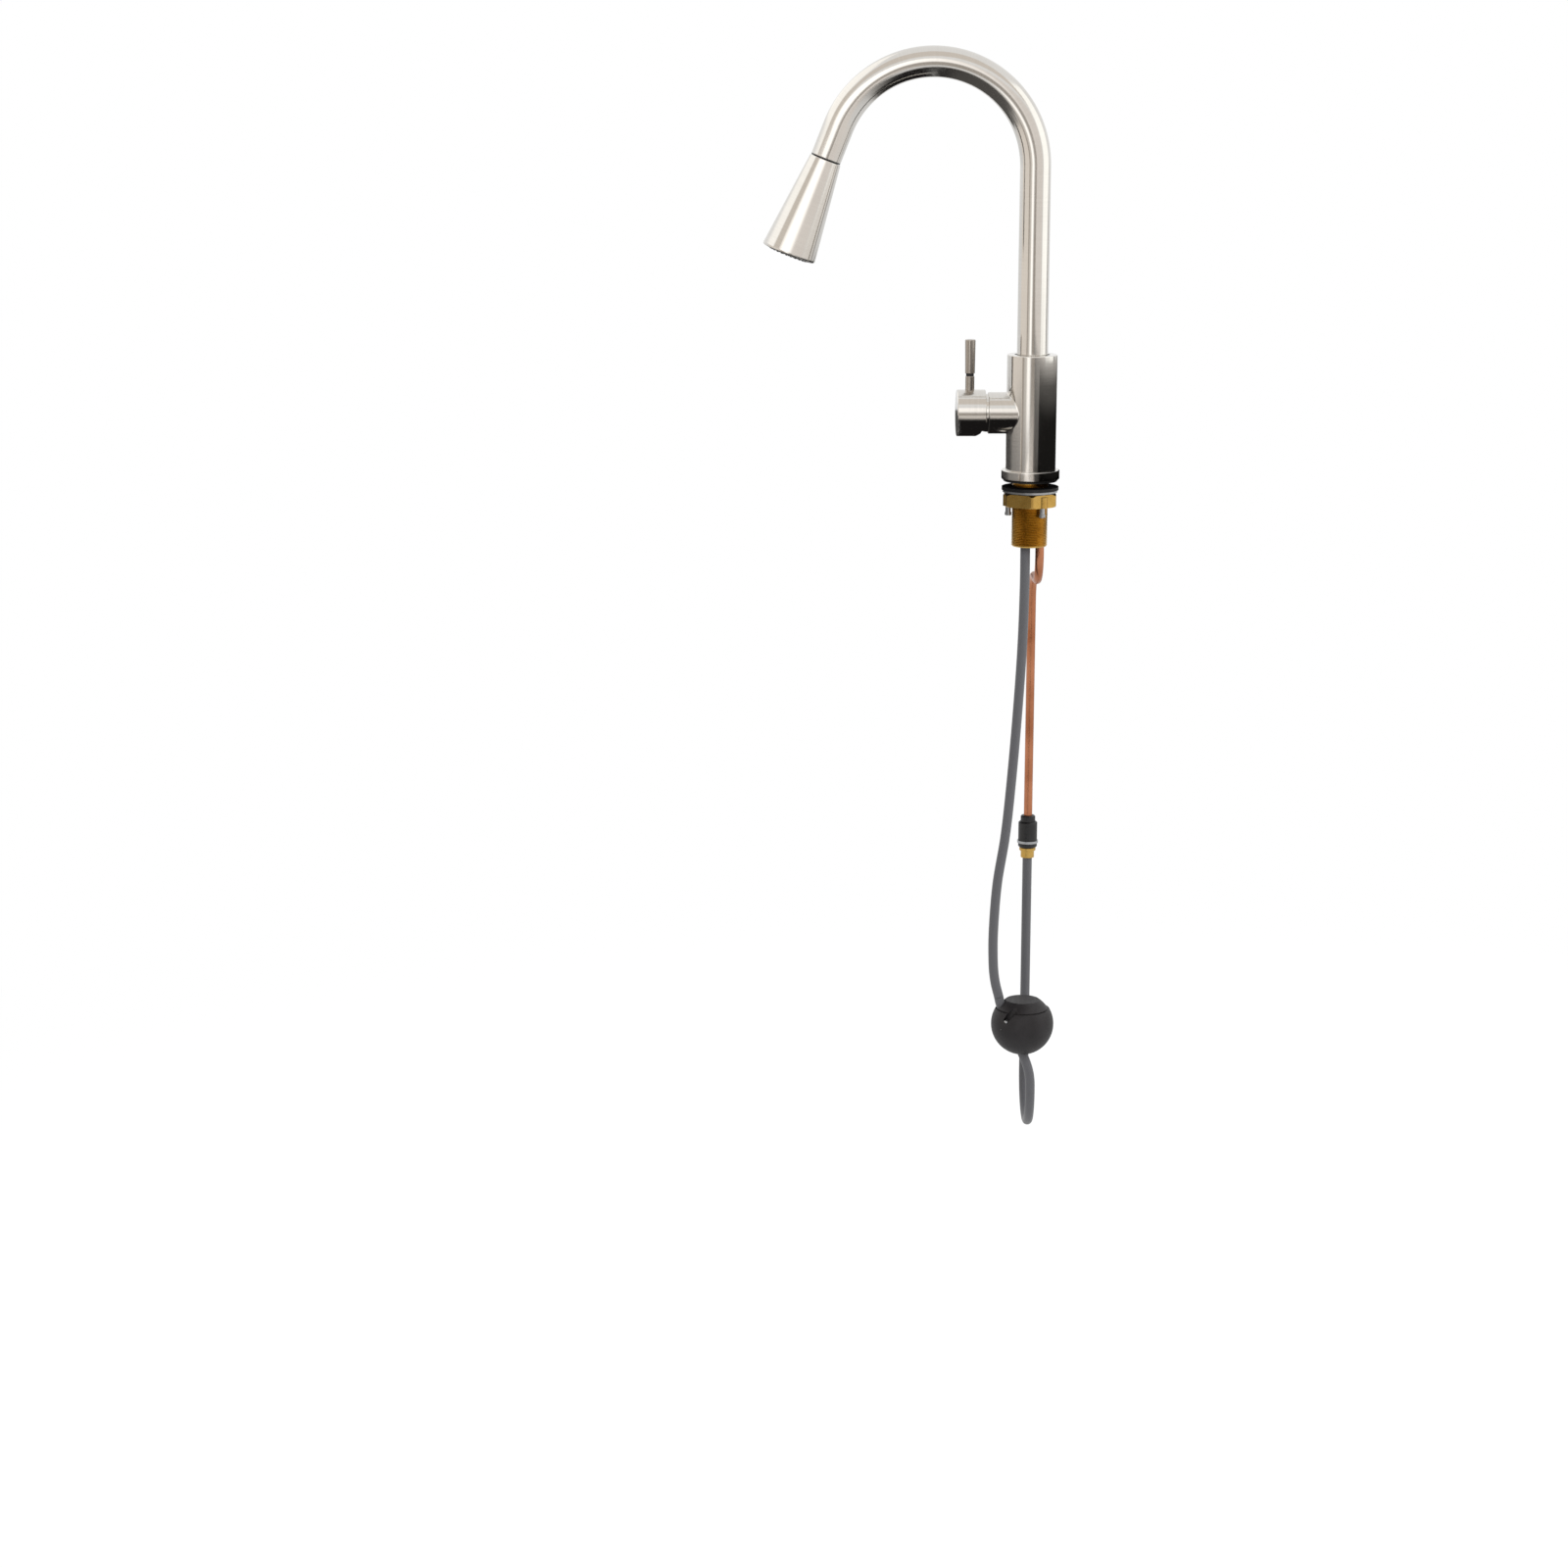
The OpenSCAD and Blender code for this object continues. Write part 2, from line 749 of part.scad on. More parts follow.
// Brass plug crimped on the hose's lower end
module hose_plug() {
    plug_top = pipe_end_z - 2;
    color([0.78, 0.62, 0.3])
        translate([-pipe_reach, pipe_lane_y, 0])
            difference() {
                union() {
                    rod(plug_r, plug_top - plug_l, plug_l, 0.6);
                    rod(plug_r + 1.4, coupling_z - coupling_l - 0.4, 3.2, 0.4, 0.4);
                }
                translate([0, 0, plug_top - 12])
                    cylinder(r = pipe_r - 1, h = 13);
            }
}

// Sideways place of the hose between the swivel and its lane in the shank
function hose_shift(z) =
    let (t = max(0, min(1, (hose_swivel_z - 4 - z) / (hose_swivel_z - 4 - hose_lane_z))))
    hose_lane_y * t * t * (3 - 2 * t);

// Hose inside the body and the shank
module hose_body_run() {
    top_z = hose_swivel_z - hose_break;
    steps = 18;
    path = [
        for (i = [0:steps])
            let (z = top_z + (shank_foot_z - top_z) * i / steps)
            [0, hose_shift(z), z]
    ];
    color([0.42, 0.42, 0.44])
        swept(path, hose_r, [1, 0, 0]);
}

// Hose between the shank and the counterweight
module hose_drop() {
    path = smooth_route(concat(drop_route, tail_route), route_steps);
    color([0.42, 0.42, 0.44])
        swept([for (i = [0:route_steps * (len(drop_route) - 1)]) path[i]], hose_r, [1, 0, 0]);
}

// Hose from the outlet pipe's coupling down to the loop
module hose_return() {
    top_z = pipe_end_z - 2 - plug_l;
    color([0.42, 0.42, 0.44])
        translate([-pipe_reach, loop_y, loop_z])
            cylinder(r = hose_r, h = top_z - loop_z);
}

// Plastic rotor that carries the stem's pivot pin
module cartridge_rotor() {
    color([0.2, 0.35, 0.6])
        valve_frame()
            difference() {
                translate([0, 0, rotor_back])
                    cylinder(r = rotor_r, h = rotor_front - rotor_back);
                translate([-stem_side / 2 - seat_gap, -slot_half, rotor_back - 1])
                    cube([stem_side + 2 * seat_gap, 2 * slot_half, rotor_front - rotor_back + 2]);
                translate([-rotor_r - 1, 0, pivot_reach])
                    rotate([0, 90, 0])
                        cylinder(r = pin_r, h = 2 * rotor_r + 2);
            }
}

// Steel pin that the stem tilts on
module pivot_pin() {
    color([0.6, 0.6, 0.6])
        valve_frame()
            translate([-rotor_r + 0.4, 0, pivot_reach])
                rotate([0, 90, 0])
                    cylinder(r = pin_r, h = 2 * rotor_r - 0.8);
}

// Sliding ceramic disc
module moving_disc() {
    color([0.93, 0.93, 0.9])
        valve_frame()
            translate([0, 0, moving_disc_y])
                difference() {
                    cylinder(r = moving_disc_r, h = disc_t);
                    translate([0, -1, -1])
                        cylinder(r = 4, h = 2.4);
                }
}

// Plastic driver between the stem and the sliding disc
module disc_driver() {
    color([0.2, 0.35, 0.6])
        valve_frame()
            translate([0, 0, driver_y])
                difference() {
                    cylinder(r = moving_disc_r, h = driver_front - driver_y);
                    translate([0, 0, -1])
                        cylinder(r = stem_ball_r + pass_gap, h = driver_front - driver_y + 2);
                }
}

// Square stem that tilts in the rotor and carries the handle
module cartridge_stem() {
    half = stem_side / 2;
    color([0.7, 0.7, 0.7])
        valve_frame()
            difference() {
                union() {
                    translate([-half, -half, pivot_reach - 3])
                        cube([stem_side, stem_side, stem_end - pivot_reach + 3]);
                    translate([0, 0, pivot_reach - stem_arm])
                        cylinder(r = 1.9, h = stem_arm);
                    translate([0, 0, pivot_reach - stem_arm])
                        sphere(r = stem_ball_r);
                }
                translate([-half - 1, 0, pivot_reach])
                    rotate([0, 90, 0])
                        cylinder(r = pin_r + run_gap, h = stem_side + 2);
            }
}

// Hollow handle hub, cut away below at the back so that it can tilt
module handle_hub() {
    low = -hub_r - 1;
    relief_deep = pivot_reach + 11;
    relief_mid = pivot_reach + 6.4;
    color([0.7, 0.67, 0.63])
        valve_frame()
            difference() {
                rod(hub_r, hub_back, hub_l, rim_chamfer, 0.4);
                translate([0, 0, hub_back - 1])
                    cylinder(r = hub_bore_r, h = hub_floor - hub_back + 1);
                translate([-hub_r - 1, 0, 0])
                    rotate([90, 0, 90])
                        linear_extrude(2 * hub_r + 2)
                            polygon([
                                [low, relief_deep + 1], [-hub_r, relief_deep], [-dome_r, relief_mid],
                                [-5.6, hub_back], [-5, hub_back - 1], [low, hub_back - 1]
                            ]);
                stem_socket();
                translate([0, lever_foot_z - valve_z, lever_y])
                    rotate([-90, 0, 0])
                        cylinder(r = lever_d / 2 + seat_gap, h = hub_r);
                translate([0, stem_side / 2 + 1, lever_y])
                    rotate([-90, 0, 0])
                        cylinder(r = lever_screw_r + seat_gap, h = hub_r);
                translate([0, 0, grub_y])
                    rotate([90, 0, 0])
                        cylinder(r = grub_r + run_gap, h = hub_r + 1);
            }
}

// Square hole in the hub for the stem
module stem_socket() {
    half = stem_side / 2 + seat_gap;
    translate([-half, -half, hub_floor - 1])
        cube([2 * half, 2 * half, stem_end - hub_floor + 1 + seat_gap]);
}

// Grub screw that clamps the hub on the stem
module grub_screw() {
    key_af = 2.5;
    grub_l = 6;
    color([0.3, 0.3, 0.3])
        valve_frame()
            translate([0, -stem_side / 2, grub_y])
                rotate([90, 0, 0])
                    difference() {
                        cylinder(r = grub_r, h = grub_l);
                        translate([0, 0, grub_l - 2.4])
                            cylinder(r = key_af / sqrt(3), h = 3, $fn = 6);
                    }
}

// Lower pin of the lever, screwed into the hub
module lever_pin() {
    color([0.5, 0.49, 0.47])
        translate([0, -lever_y, 0]) {
            rod(lever_d / 2, lever_foot_z, lever_ring_z - lever_foot_z, 0.3);
            rod(lever_screw_r, valve_z + stem_side / 2 + 2, lever_foot_z - valve_z - stem_side / 2 - 1);
            rod(2.4, lever_ring_z - 1, lever_ring_t + 7);
        }
}

// Black ring in the groove between the pin and the grip
module lever_ring() {
    color([0.05, 0.05, 0.05])
        translate([0, -lever_y, 0])
            ring(lever_d / 2 - 0.5, 2.4 + run_gap, lever_ring_z, lever_ring_t);
}

// Grip of the lever, a little wider at its tip
module lever_grip() {
    edge = 0.6;
    foot_r = grip_foot_d / 2;
    tip_r = grip_tip_d / 2;
    color([0.48, 0.47, 0.45])
        translate([0, -lever_y, grip_z])
            rotate_extrude()
                polygon([
                    [2.4 + run_gap, 0], [foot_r - 0.3, 0], [foot_r, 0.3], [tip_r, grip_l - edge],
                    [tip_r - edge, grip_l], [0, grip_l], [0, 7], [2.4 + run_gap, 7]
                ]);
}

// Gooseneck tube
module spout_tube() {
    color([0.72, 0.69, 0.65])
        difference() {
            spout_path(spout_r, tube_foot_z, 0);
            spout_path(spout_bore_r, tube_foot_z - 1, 1);
        }
}

// Brass pivot soldered into the spout tube, with the O-ring grooves and the neck for the circlip
module spout_pivot() {
    groove_h = spout_seal_d + 0.2;
    color([0.78, 0.62, 0.3])
        difference() {
            union() {
                rod(spout_r, pivot_z, tube_foot_z - pivot_z);
                rod(spout_bore_r - seat_gap, tube_foot_z - 1, 9, 0.6);
                rod(pivot_neck_r, neck_foot_z, pivot_z - neck_foot_z + 1, 0, 0.5);
            }
            translate([0, 0, neck_foot_z - 1])
                cylinder(r = pivot_bore_r, h = tube_foot_z - neck_foot_z + 12);
            for (z = [seal_low_z, seal_high_z])
                ring(spout_r + 1, seal_groove_r, z - groove_h / 2, groove_h);
            ring(pivot_neck_r + 1, pivot_neck_r - 1.2, clip_z - run_gap, clip_t + 2 * run_gap);
        }
}

// O-rings that steady the spout in its socket
module spout_seals() {
    color([0.05, 0.05, 0.05])
        for (z = [seal_low_z, seal_high_z])
            o_ring(seal_groove_r + spout_seal_d / 2, spout_seal_d / 2, z);
}

// Open circlip under the body's ledge, which keeps the spout in
module spout_circlip() {
    gap_w = 5;
    color([0.5, 0.5, 0.5])
        difference() {
            ring(pivot_neck_r + 2, pivot_neck_r - 1.2 + run_gap, clip_z, clip_t);
            translate([-gap_w / 2, 0, clip_z - 1])
                cube([gap_w, pivot_neck_r + 4, clip_t + 2]);
        }
}

// Black plastic collar in the spout's end that docks the spray head
module docking_collar() {
    color([0.05, 0.05, 0.05])
        head_frame() {
            ring(spout_bore_r - run_gap, dock_r, -dock_l, dock_l);
            ring(spout_r - 0.2, dock_r, 0, dock_flange_t);
        }
}

// Hose inside the gooseneck
module hose_spout_run() {
    color([0.42, 0.42, 0.44])
        spout_path(hose_r, hose_swivel_z, ferrule_end - hose_break);
}

// Ferrule crimped on the hose's upper end
module hose_ferrule() {
    color([0.7, 0.7, 0.72])
        head_frame()
            rod(ferrule_r, ferrule_end, nut_back - ferrule_end, 0, 0.8);
}

// Swivel nut that joins the hose to the spray head
module swivel_nut() {
    color([0.78, 0.62, 0.3])
        head_frame()
            difference() {
                rod(nut_r, nut_back, nut_end - nut_back, 0.4, 1);
                translate([0, 0, nut_back + 6])
                    cylinder(r = 3.4, h = nut_end - nut_back);
            }
}

// Points on an arc about c
function arc_points(c, r, from, to, n) = [
    for (i = [0:n])
        let (a = from + (to - from) * i / n)
        [c[0] + r * cos(a), c[1] + r * sin(a)]
];

// Conical steel shell of the spray head with a rolled lower rim
module spray_shell() {
    rim_c = [head_r - head_rim_r, head_end - head_rim_r];
    color([0.74, 0.71, 0.67])
        head_frame()
            rotate_extrude()
                polygon(concat(
                    [[spigot_r + seat_gap, head_start], [head_top_r - 0.4, head_start]],
                    [[head_top_r, head_start + 0.4]],
                    arc_points(rim_c, head_rim_r, -head_slope, 90, 8),
                    [
                        [face_r + seat_gap, head_end], [face_r + seat_gap, face_start - 0.4],
                        [shell_end_r, face_start - 0.4], [head_top_r - head_wall, head_start + head_wall],
                        [spigot_r + seat_gap, head_start + head_wall]
                    ]
                ));
}

// Radius of the shell's inside at distance s along the spray head
function shell_inside(s) =
    let (r0 = head_top_r - head_wall)
    r0 + (shell_end_r - r0) * (s - head_start - head_wall) / (face_start - 0.4 - head_start - head_wall);

// Black plastic body inside the shell, whose neck docks in the spout
module spray_core() {
    under_lip = head_start + head_wall;
    flange_r = shell_inside(under_lip + 2) - 0.4;
    seat_s = face_start - 6;
    seat_r = shell_inside(seat_s) - 0.4;
    color([0.09, 0.09, 0.09])
        head_frame()
            difference() {
                rotate_extrude()
                    polygon([
                        [0, -spigot_l], [spigot_r - 0.8, -spigot_l], [spigot_r, 0.8 - spigot_l],
                        [spigot_r, under_lip], [flange_r - 0.6, under_lip], [flange_r, under_lip + 2],
                        [flange_r, chamber_start - 6], [seat_r - 3, chamber_start], [seat_r, seat_s],
                        [seat_r, face_start - 0.5], [face_r - 0.4, face_start - 0.5],
                        [face_r - 0.4, face_start], [0, face_start]
                    ]);
                translate([0, 0, -spigot_l - 1])
                    cylinder(r = nut_socket_r, h = valve_start + spigot_l + 1);
                cylinder(r = 5.6, h = chamber_start + 1);
                translate([0, 0, chamber_start])
                    cylinder(r = seat_r - 5, h = face_start - chamber_start + 1);
            }
}

// Washer between the swivel nut and the spray head's inner shoulder
module spray_washer() {
    color([0.05, 0.05, 0.05])
        head_frame()
            ring(nut_r - 0.3, 4, nut_end + pass_gap, valve_start - nut_end - pass_gap);
}

// Check valve in the spray head's inlet
module check_valve() {
    color([0.85, 0.85, 0.85])
        head_frame()
            difference() {
                rod(5.6 - seat_gap, valve_start + 0.2, 14, 0.5, 0.5);
                translate([0, 0, valve_start])
                    cylinder(r = 3.6, h = 8);
                for (i = [0:5])
                    rotate([0, 0, 60 * i])
                        translate([3.2, 0, valve_start + 7])
                            cylinder(r = 0.9, h = 9, $fn = 24);
            }
}

// Places something at each spray nozzle
module nozzle_places() {
    for (row = [[0.64, 16, 0], [0.83, 24, 7.5]])
        for (i = [0:row[1] - 1])
            rotate([0, 0, 360 * i / row[1] + row[2]])
                translate([face_r * row[0], 0, 0])
                    children();
}

// Black spray face with holes for the nozzles and the aerator
module spray_face() {
    plate_t = 2.2;
    color([0.05, 0.05, 0.05])
        head_frame()
            difference() {
                rod(face_r, face_start, face_t, 0.5);
                translate([0, 0, face_start - 1])
                    cylinder(r = aerator_r + seat_gap, h = face_t + 2);
                ring(face_r - 1.4, aerator_r + 1.2, face_start - 1, face_t - plate_t + 1);
                nozzle_places()
                    translate([0, 0, face_start])
                        cylinder(r = nozzle_r + run_gap, h = face_t + 1, $fn = 24);
            }
}

// Soft nozzles on one rubber ring behind the spray face
module spray_nozzles() {
    sheet_t = 1.4;
    plate_t = 2.2;
    sheet_s = face_end - plate_t - sheet_t;
    color([0.14, 0.14, 0.15])
        head_frame()
            difference() {
                union() {
                    ring(face_r - 1.5, aerator_r + 1.3, sheet_s, sheet_t);
                    nozzle_places()
                        translate([0, 0, sheet_s])
                            cylinder(r = nozzle_r, h = sheet_t + plate_t + nozzle_h, $fn = 24);
                }
                nozzle_places()
                    translate([0, 0, sheet_s - 1])
                        cylinder(r = 0.35, h = sheet_t + plate_t + nozzle_h + 2, $fn = 16);
            }
}

// Aerator with its grid
module aerator() {
    bar_w = 0.7;
    pitch = 2.6;
    grid_s = face_end - 1.6;
    bars = floor(aerator_r / pitch);
    color([0.16, 0.16, 0.17])
        head_frame() {
            ring(aerator_r, aerator_r - 1.2, face_start, face_t - 0.4);
            intersection() {
                translate([0, 0, grid_s - 2])
                    cylinder(r = aerator_r - 1, h = 2);
                union()
                    for (i = [-bars:bars]) {
                        translate([-aerator_r, i * pitch - bar_w / 2, grid_s - 2])
                            cube([aerator_d, bar_w, 2]);
                        translate([i * pitch - bar_w / 2, -aerator_r, grid_s - 2])
                            cube([bar_w, aerator_d, 2]);
                    }
            }
        }
}

// Bend of the hose at the bottom of its loop
module hose_loop() {
    color([0.42, 0.42, 0.44])
        translate([-loop_r, loop_y, loop_z])
            rotate([90, 0, 0])
                rotate([0, 0, 180])
                    rotate_extrude(angle = 180)
                        translate([loop_r, 0])
                            circle(r = hose_r, $fn = 48);
}

// Hose through the counterweight and down to the loop
module hose_tail() {
    path = smooth_route(concat(drop_route, tail_route), route_steps);
    first = route_steps * (len(drop_route) - 1);
    start = path[first] + 1.4 * hose_break * path_way(path, first);
    color([0.42, 0.42, 0.44])
        swept(concat([start], [for (i = [first + 1:len(path) - 1]) path[i]]), hose_r, [1, 0, 0]);
}

// Frame of the counterweight, at the middle of the ball
module weight_frame() {
    translate(weight_c)
        children();
}

// Passage of the hose through the counterweight, wider at its mouth
module weight_bore() {
    mouth_l = 9;
    translate(weight_entry)
        rotate([180 + bore_lean, 0, 0]) {
            translate([0, 0, -20])
                cylinder(r = weight_bore_r, h = weight_d + 40);
            translate([0, 0, -mouth_l])
                cylinder(r1 = weight_bore_r + 3, r2 = weight_bore_r - 0.1, h = 2 * mouth_l);
        }
}

// Places something at each screw head, local +Z along the screw
module screw_places() {
    for (turn = [0, 180])
        rotate([0, 0, turn])
            translate([0.68 * weight_r, -0.565 * weight_r, weight_seam - 8.2])
                rotate([-29, 7, 0])
                    children();
}

// Lower part of the ball-shaped counterweight
module weight_body() {
    color([0.13, 0.13, 0.14])
        difference() {
            weight_frame()
                difference() {
                    intersection() {
                        sphere(r = weight_r);
                        translate([0, 0, -weight_r])
                            cylinder(r = weight_r, h = weight_r + weight_seam);
                    }
                    screw_channels();
                }
            weight_bore();
        }
}

// Channels and threads of the clamping screws
module screw_channels() {
    screw_room = 0.9;
    screw_places() {
        cylinder(r = weight_screw_d / 2 + screw_room, h = weight_r);
        translate([0, 0, -9])
            cylinder(r = weight_screw_d / 4 + run_gap, h = 10);
    }
}

// Upper cap of the counterweight
module weight_cap() {
    seam_groove = 0.8;
    seam_depth = 0.9;
    edge_r = sqrt(cap_r * cap_r - weight_seam * weight_seam);
    color([0.13, 0.13, 0.14])
        difference() {
            weight_frame()
                difference() {
                    intersection() {
                        sphere(r = cap_r);
                        translate([0, 0, weight_seam])
                            cylinder(r = weight_r, h = weight_top - weight_seam);
                    }
                    ring(weight_r, edge_r - seam_depth, weight_seam, seam_groove);
                    screw_channels();
                }
            weight_bore();
        }
}

// Two screws that clamp the counterweight on the hose
module weight_screws() {
    slot_w = 0.9;
    head_h = 2;
    color([0.75, 0.75, 0.75])
        weight_frame()
            screw_places()
                difference() {
                    union() {
                        rod(weight_screw_d / 2, 0, head_h, 0.6);
                        rod(weight_screw_d / 4, -8.6, 9);
                    }
                    translate([-slot_w / 2, -weight_screw_d, head_h - 1])
                        cube([slot_w, 2 * weight_screw_d, 2]);
                }
}

base_gasket();
base_ring();
faucet_body();
waterway_core();
core_seals();
threaded_shank();
deck_washer_rubber();
deck_washer_steel();
mounting_nut();
jack_screws();
bush_upper();
bush_lower();
cartridge_housing();
port_seals();
fixed_disc();
dome_nut();
outlet_pipe();
pipe_coupling();
coupling_clip();
hose_plug();
hose_body_run();
hose_drop();
hose_return();
cartridge_rotor();
pivot_pin();
moving_disc();
disc_driver();
cartridge_stem();
handle_hub();
grub_screw();
lever_pin();
lever_ring();
lever_grip();
spout_tube();
spout_pivot();
spout_seals();
spout_circlip();
docking_collar();
hose_spout_run();
hose_ferrule();
swivel_nut();
spray_shell();
spray_core();
spray_washer();
check_valve();
spray_face();
spray_nozzles();
aerator();
hose_loop();
hose_tail();
weight_body();
weight_cap();
weight_screws();
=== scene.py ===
"""Looks of a pull-down kitchen mixer: brushed steel gooseneck, pin lever, spray head, braided hose, counterweight."""

import math
import bpy
import bmesh
import numpy as np
from mathutils import Matrix, Vector


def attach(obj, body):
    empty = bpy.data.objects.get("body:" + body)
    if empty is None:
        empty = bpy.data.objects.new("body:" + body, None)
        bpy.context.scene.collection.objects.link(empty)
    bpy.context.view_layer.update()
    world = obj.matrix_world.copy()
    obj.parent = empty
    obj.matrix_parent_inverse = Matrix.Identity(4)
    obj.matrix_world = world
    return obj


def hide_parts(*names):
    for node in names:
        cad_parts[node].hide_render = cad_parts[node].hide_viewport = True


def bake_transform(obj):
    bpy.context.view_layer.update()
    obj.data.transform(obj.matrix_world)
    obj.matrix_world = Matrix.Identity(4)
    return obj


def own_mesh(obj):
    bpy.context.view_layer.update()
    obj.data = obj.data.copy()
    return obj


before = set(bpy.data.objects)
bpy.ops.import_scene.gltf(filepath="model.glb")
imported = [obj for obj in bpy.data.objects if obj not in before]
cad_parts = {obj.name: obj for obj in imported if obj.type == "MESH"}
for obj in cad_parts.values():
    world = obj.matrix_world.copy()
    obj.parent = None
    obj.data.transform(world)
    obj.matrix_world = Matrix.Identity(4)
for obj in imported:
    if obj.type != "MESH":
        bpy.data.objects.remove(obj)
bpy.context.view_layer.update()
MM = 0.001


# ---------------------------------------------------------------- camera

PICTURE_SIDE, FOCAL = 1600, 3630.326  # pixels
SENSOR = 36
PITCH, YAW, ROLL = math.radians(12.692), math.radians(0.850), math.radians(0.113)
CAMERA_PLACE = (3.23332, -0.27273, 0.44408)


def make_camera():
    """Camera on the sink's end side, a little above the mixer, looking along -X."""
    ahead = Vector((-math.cos(YAW) * math.cos(PITCH), math.sin(YAW) * math.cos(PITCH), -math.sin(PITCH)))
    side = Vector((math.sin(YAW), math.cos(YAW), 0))
    above = side.cross(ahead)
    right = side * math.cos(ROLL) + above * math.sin(ROLL)
    up = above * math.cos(ROLL) - side * math.sin(ROLL)
    data = bpy.data.cameras.new("camera")
    data.sensor_width = SENSOR
    data.lens = FOCAL / PICTURE_SIDE * SENSOR
    data.clip_start, data.clip_end = 0.1, 60
    camera = bpy.data.objects.new("camera", data)
    turn = Matrix((right, up, -ahead)).transposed().to_4x4()
    camera.matrix_world = Matrix.Translation(CAMERA_PLACE) @ turn
    bpy.context.scene.collection.objects.link(camera)
    bpy.context.scene.camera = camera


make_camera()


# ---------------------------------------------------------------- shader nodes

NOISE_LOW, NOISE_HIGH = 0.3, 0.7  # nearly all of a noise node's values lie between these


def srgb(code):
    """Linear colour of an sRGB hex value."""
    parts = [int(code[i:i + 2], 16) / 255 for i in (1, 3, 5)]
    return [c / 12.92 if c <= 0.04045 else ((c + 0.055) / 1.055) ** 2.4 for c in parts] + [1.0]


def node(tree, kind, inputs=None, **settings):
    """Adds a node with its settings, and sets or links its inputs."""
    made = tree.nodes.new(kind)
    for key, value in settings.items():
        setattr(made, key, value)
    for key, value in (inputs or {}).items():
        if isinstance(value, bpy.types.NodeSocket):
            tree.links.new(value, made.inputs[key])
        else:
            made.inputs[key].default_value = value
    return made


def shader_tree(name):
    """New material and its empty node tree."""
    material = bpy.data.materials.new(name)
    material.use_nodes = True
    material.node_tree.nodes.clear()
    return material, material.node_tree


def new_material(name, **shader):
    """Material with a Principled shader whose named sockets are set here and others linked later."""
    material, tree = shader_tree(name)
    bsdf = node(tree, "ShaderNodeBsdfPrincipled", shader)
    node(tree, "ShaderNodeOutputMaterial", {"Surface": bsdf.outputs[0]})
    return material, tree, bsdf


def link(tree, shader, sockets):
    """Links each named input of a shader to its source."""
    for name, source in sockets.items():
        tree.links.new(source, shader.inputs[name])


def place_mm(tree, source, scale):
    """Coordinates in millimetres, stretched by scale per axis. source is UV, or Object for the piece's own frame."""
    coords = node(tree, "ShaderNodeTexCoord")
    unit = 1.0 if source == "UV" else 1000.0
    return node(
        tree, "ShaderNodeMapping",
        {"Vector": coords.outputs[source], "Scale": [unit * s for s in scale]},
    ).outputs[0]


def noise(tree, vector, detail):
    """Noise with one lump per unit of the vector."""
    return node(tree, "ShaderNodeTexNoise", {"Vector": vector, "Scale": 1.0, "Detail": detail}).outputs["Fac"]


def remap(tree, value, low, high, to_low=0.0, to_high=1.0, kind="LINEAR"):
    """Value moved from the range low to high into to_low to to_high, and held at the ends."""
    return node(tree, "ShaderNodeMapRange", {
        "Value": value, "From Min": low, "From Max": high, "To Min": to_low, "To Max": to_high,
    }, interpolation_type=kind).outputs["Result"]


def colour_ramp(tree, fac, stops, kind="LINEAR"):
    """Colour between stops of (position, linear colour) in rising order."""
    ramp = node(tree, "ShaderNodeValToRGB", {"Fac": fac})
    ramp.color_ramp.interpolation = kind
    while len(ramp.color_ramp.elements) < len(stops):
        ramp.color_ramp.elements.new(0.5)
    for element, (position, _) in zip(ramp.color_ramp.elements, stops):
        element.position = position
    for element, (_, colour) in zip(ramp.color_ramp.elements, stops):
        element.color = colour
    return ramp.outputs["Color"]


def warm_greys(stops, warmth):
    """Ramp stops from (position, level), with green and blue one and two steps of warmth under red."""
    return [(place, (level, level * (1 - warmth), level * (1 - 2 * warmth), 1)) for place, level in stops]


def mix_colour(tree, share, first, second):
    """First colour with a share of the second."""
    return node(tree, "ShaderNodeMix", {0: share, 6: first, 7: second}, data_type="RGBA").outputs[2]


def mix_shader(tree, share, first, second):
    """First shader with a share of the second."""
    return node(tree, "ShaderNodeMixShader", {0: share, 1: first, 2: second}).outputs[0]


def maths(tree, operation, *values):
    """Result of a math node on one or two values."""
    return node(tree, "ShaderNodeMath", dict(enumerate(values)), operation=operation).outputs[0]


def emission(tree, colour, strength=1.0):
    """Shader that glows evenly."""
    return node(tree, "ShaderNodeEmission", {"Color": colour, "Strength": strength}).outputs[0]


def vary(tree, vector, low, high, detail=2.0):
    """Noise turned into a value or a colour between low and high."""
    fac = noise(tree, vector, detail)
    if isinstance(low, str):
        return colour_ramp(tree, fac, ((NOISE_LOW, srgb(low)), (NOISE_HIGH, srgb(high))))
    return remap(tree, fac, NOISE_LOW, NOISE_HIGH, low, high)


def relief(tree, vector, depth_mm, detail=2.0):
    """Bump from noise, depth_mm high."""
    return node(tree, "ShaderNodeBump", {
        "Height": noise(tree, vector, detail), "Distance": depth_mm * MM, "Strength": 1.0,
    }).outputs["Normal"]


# ---------------------------------------------------------------- materials

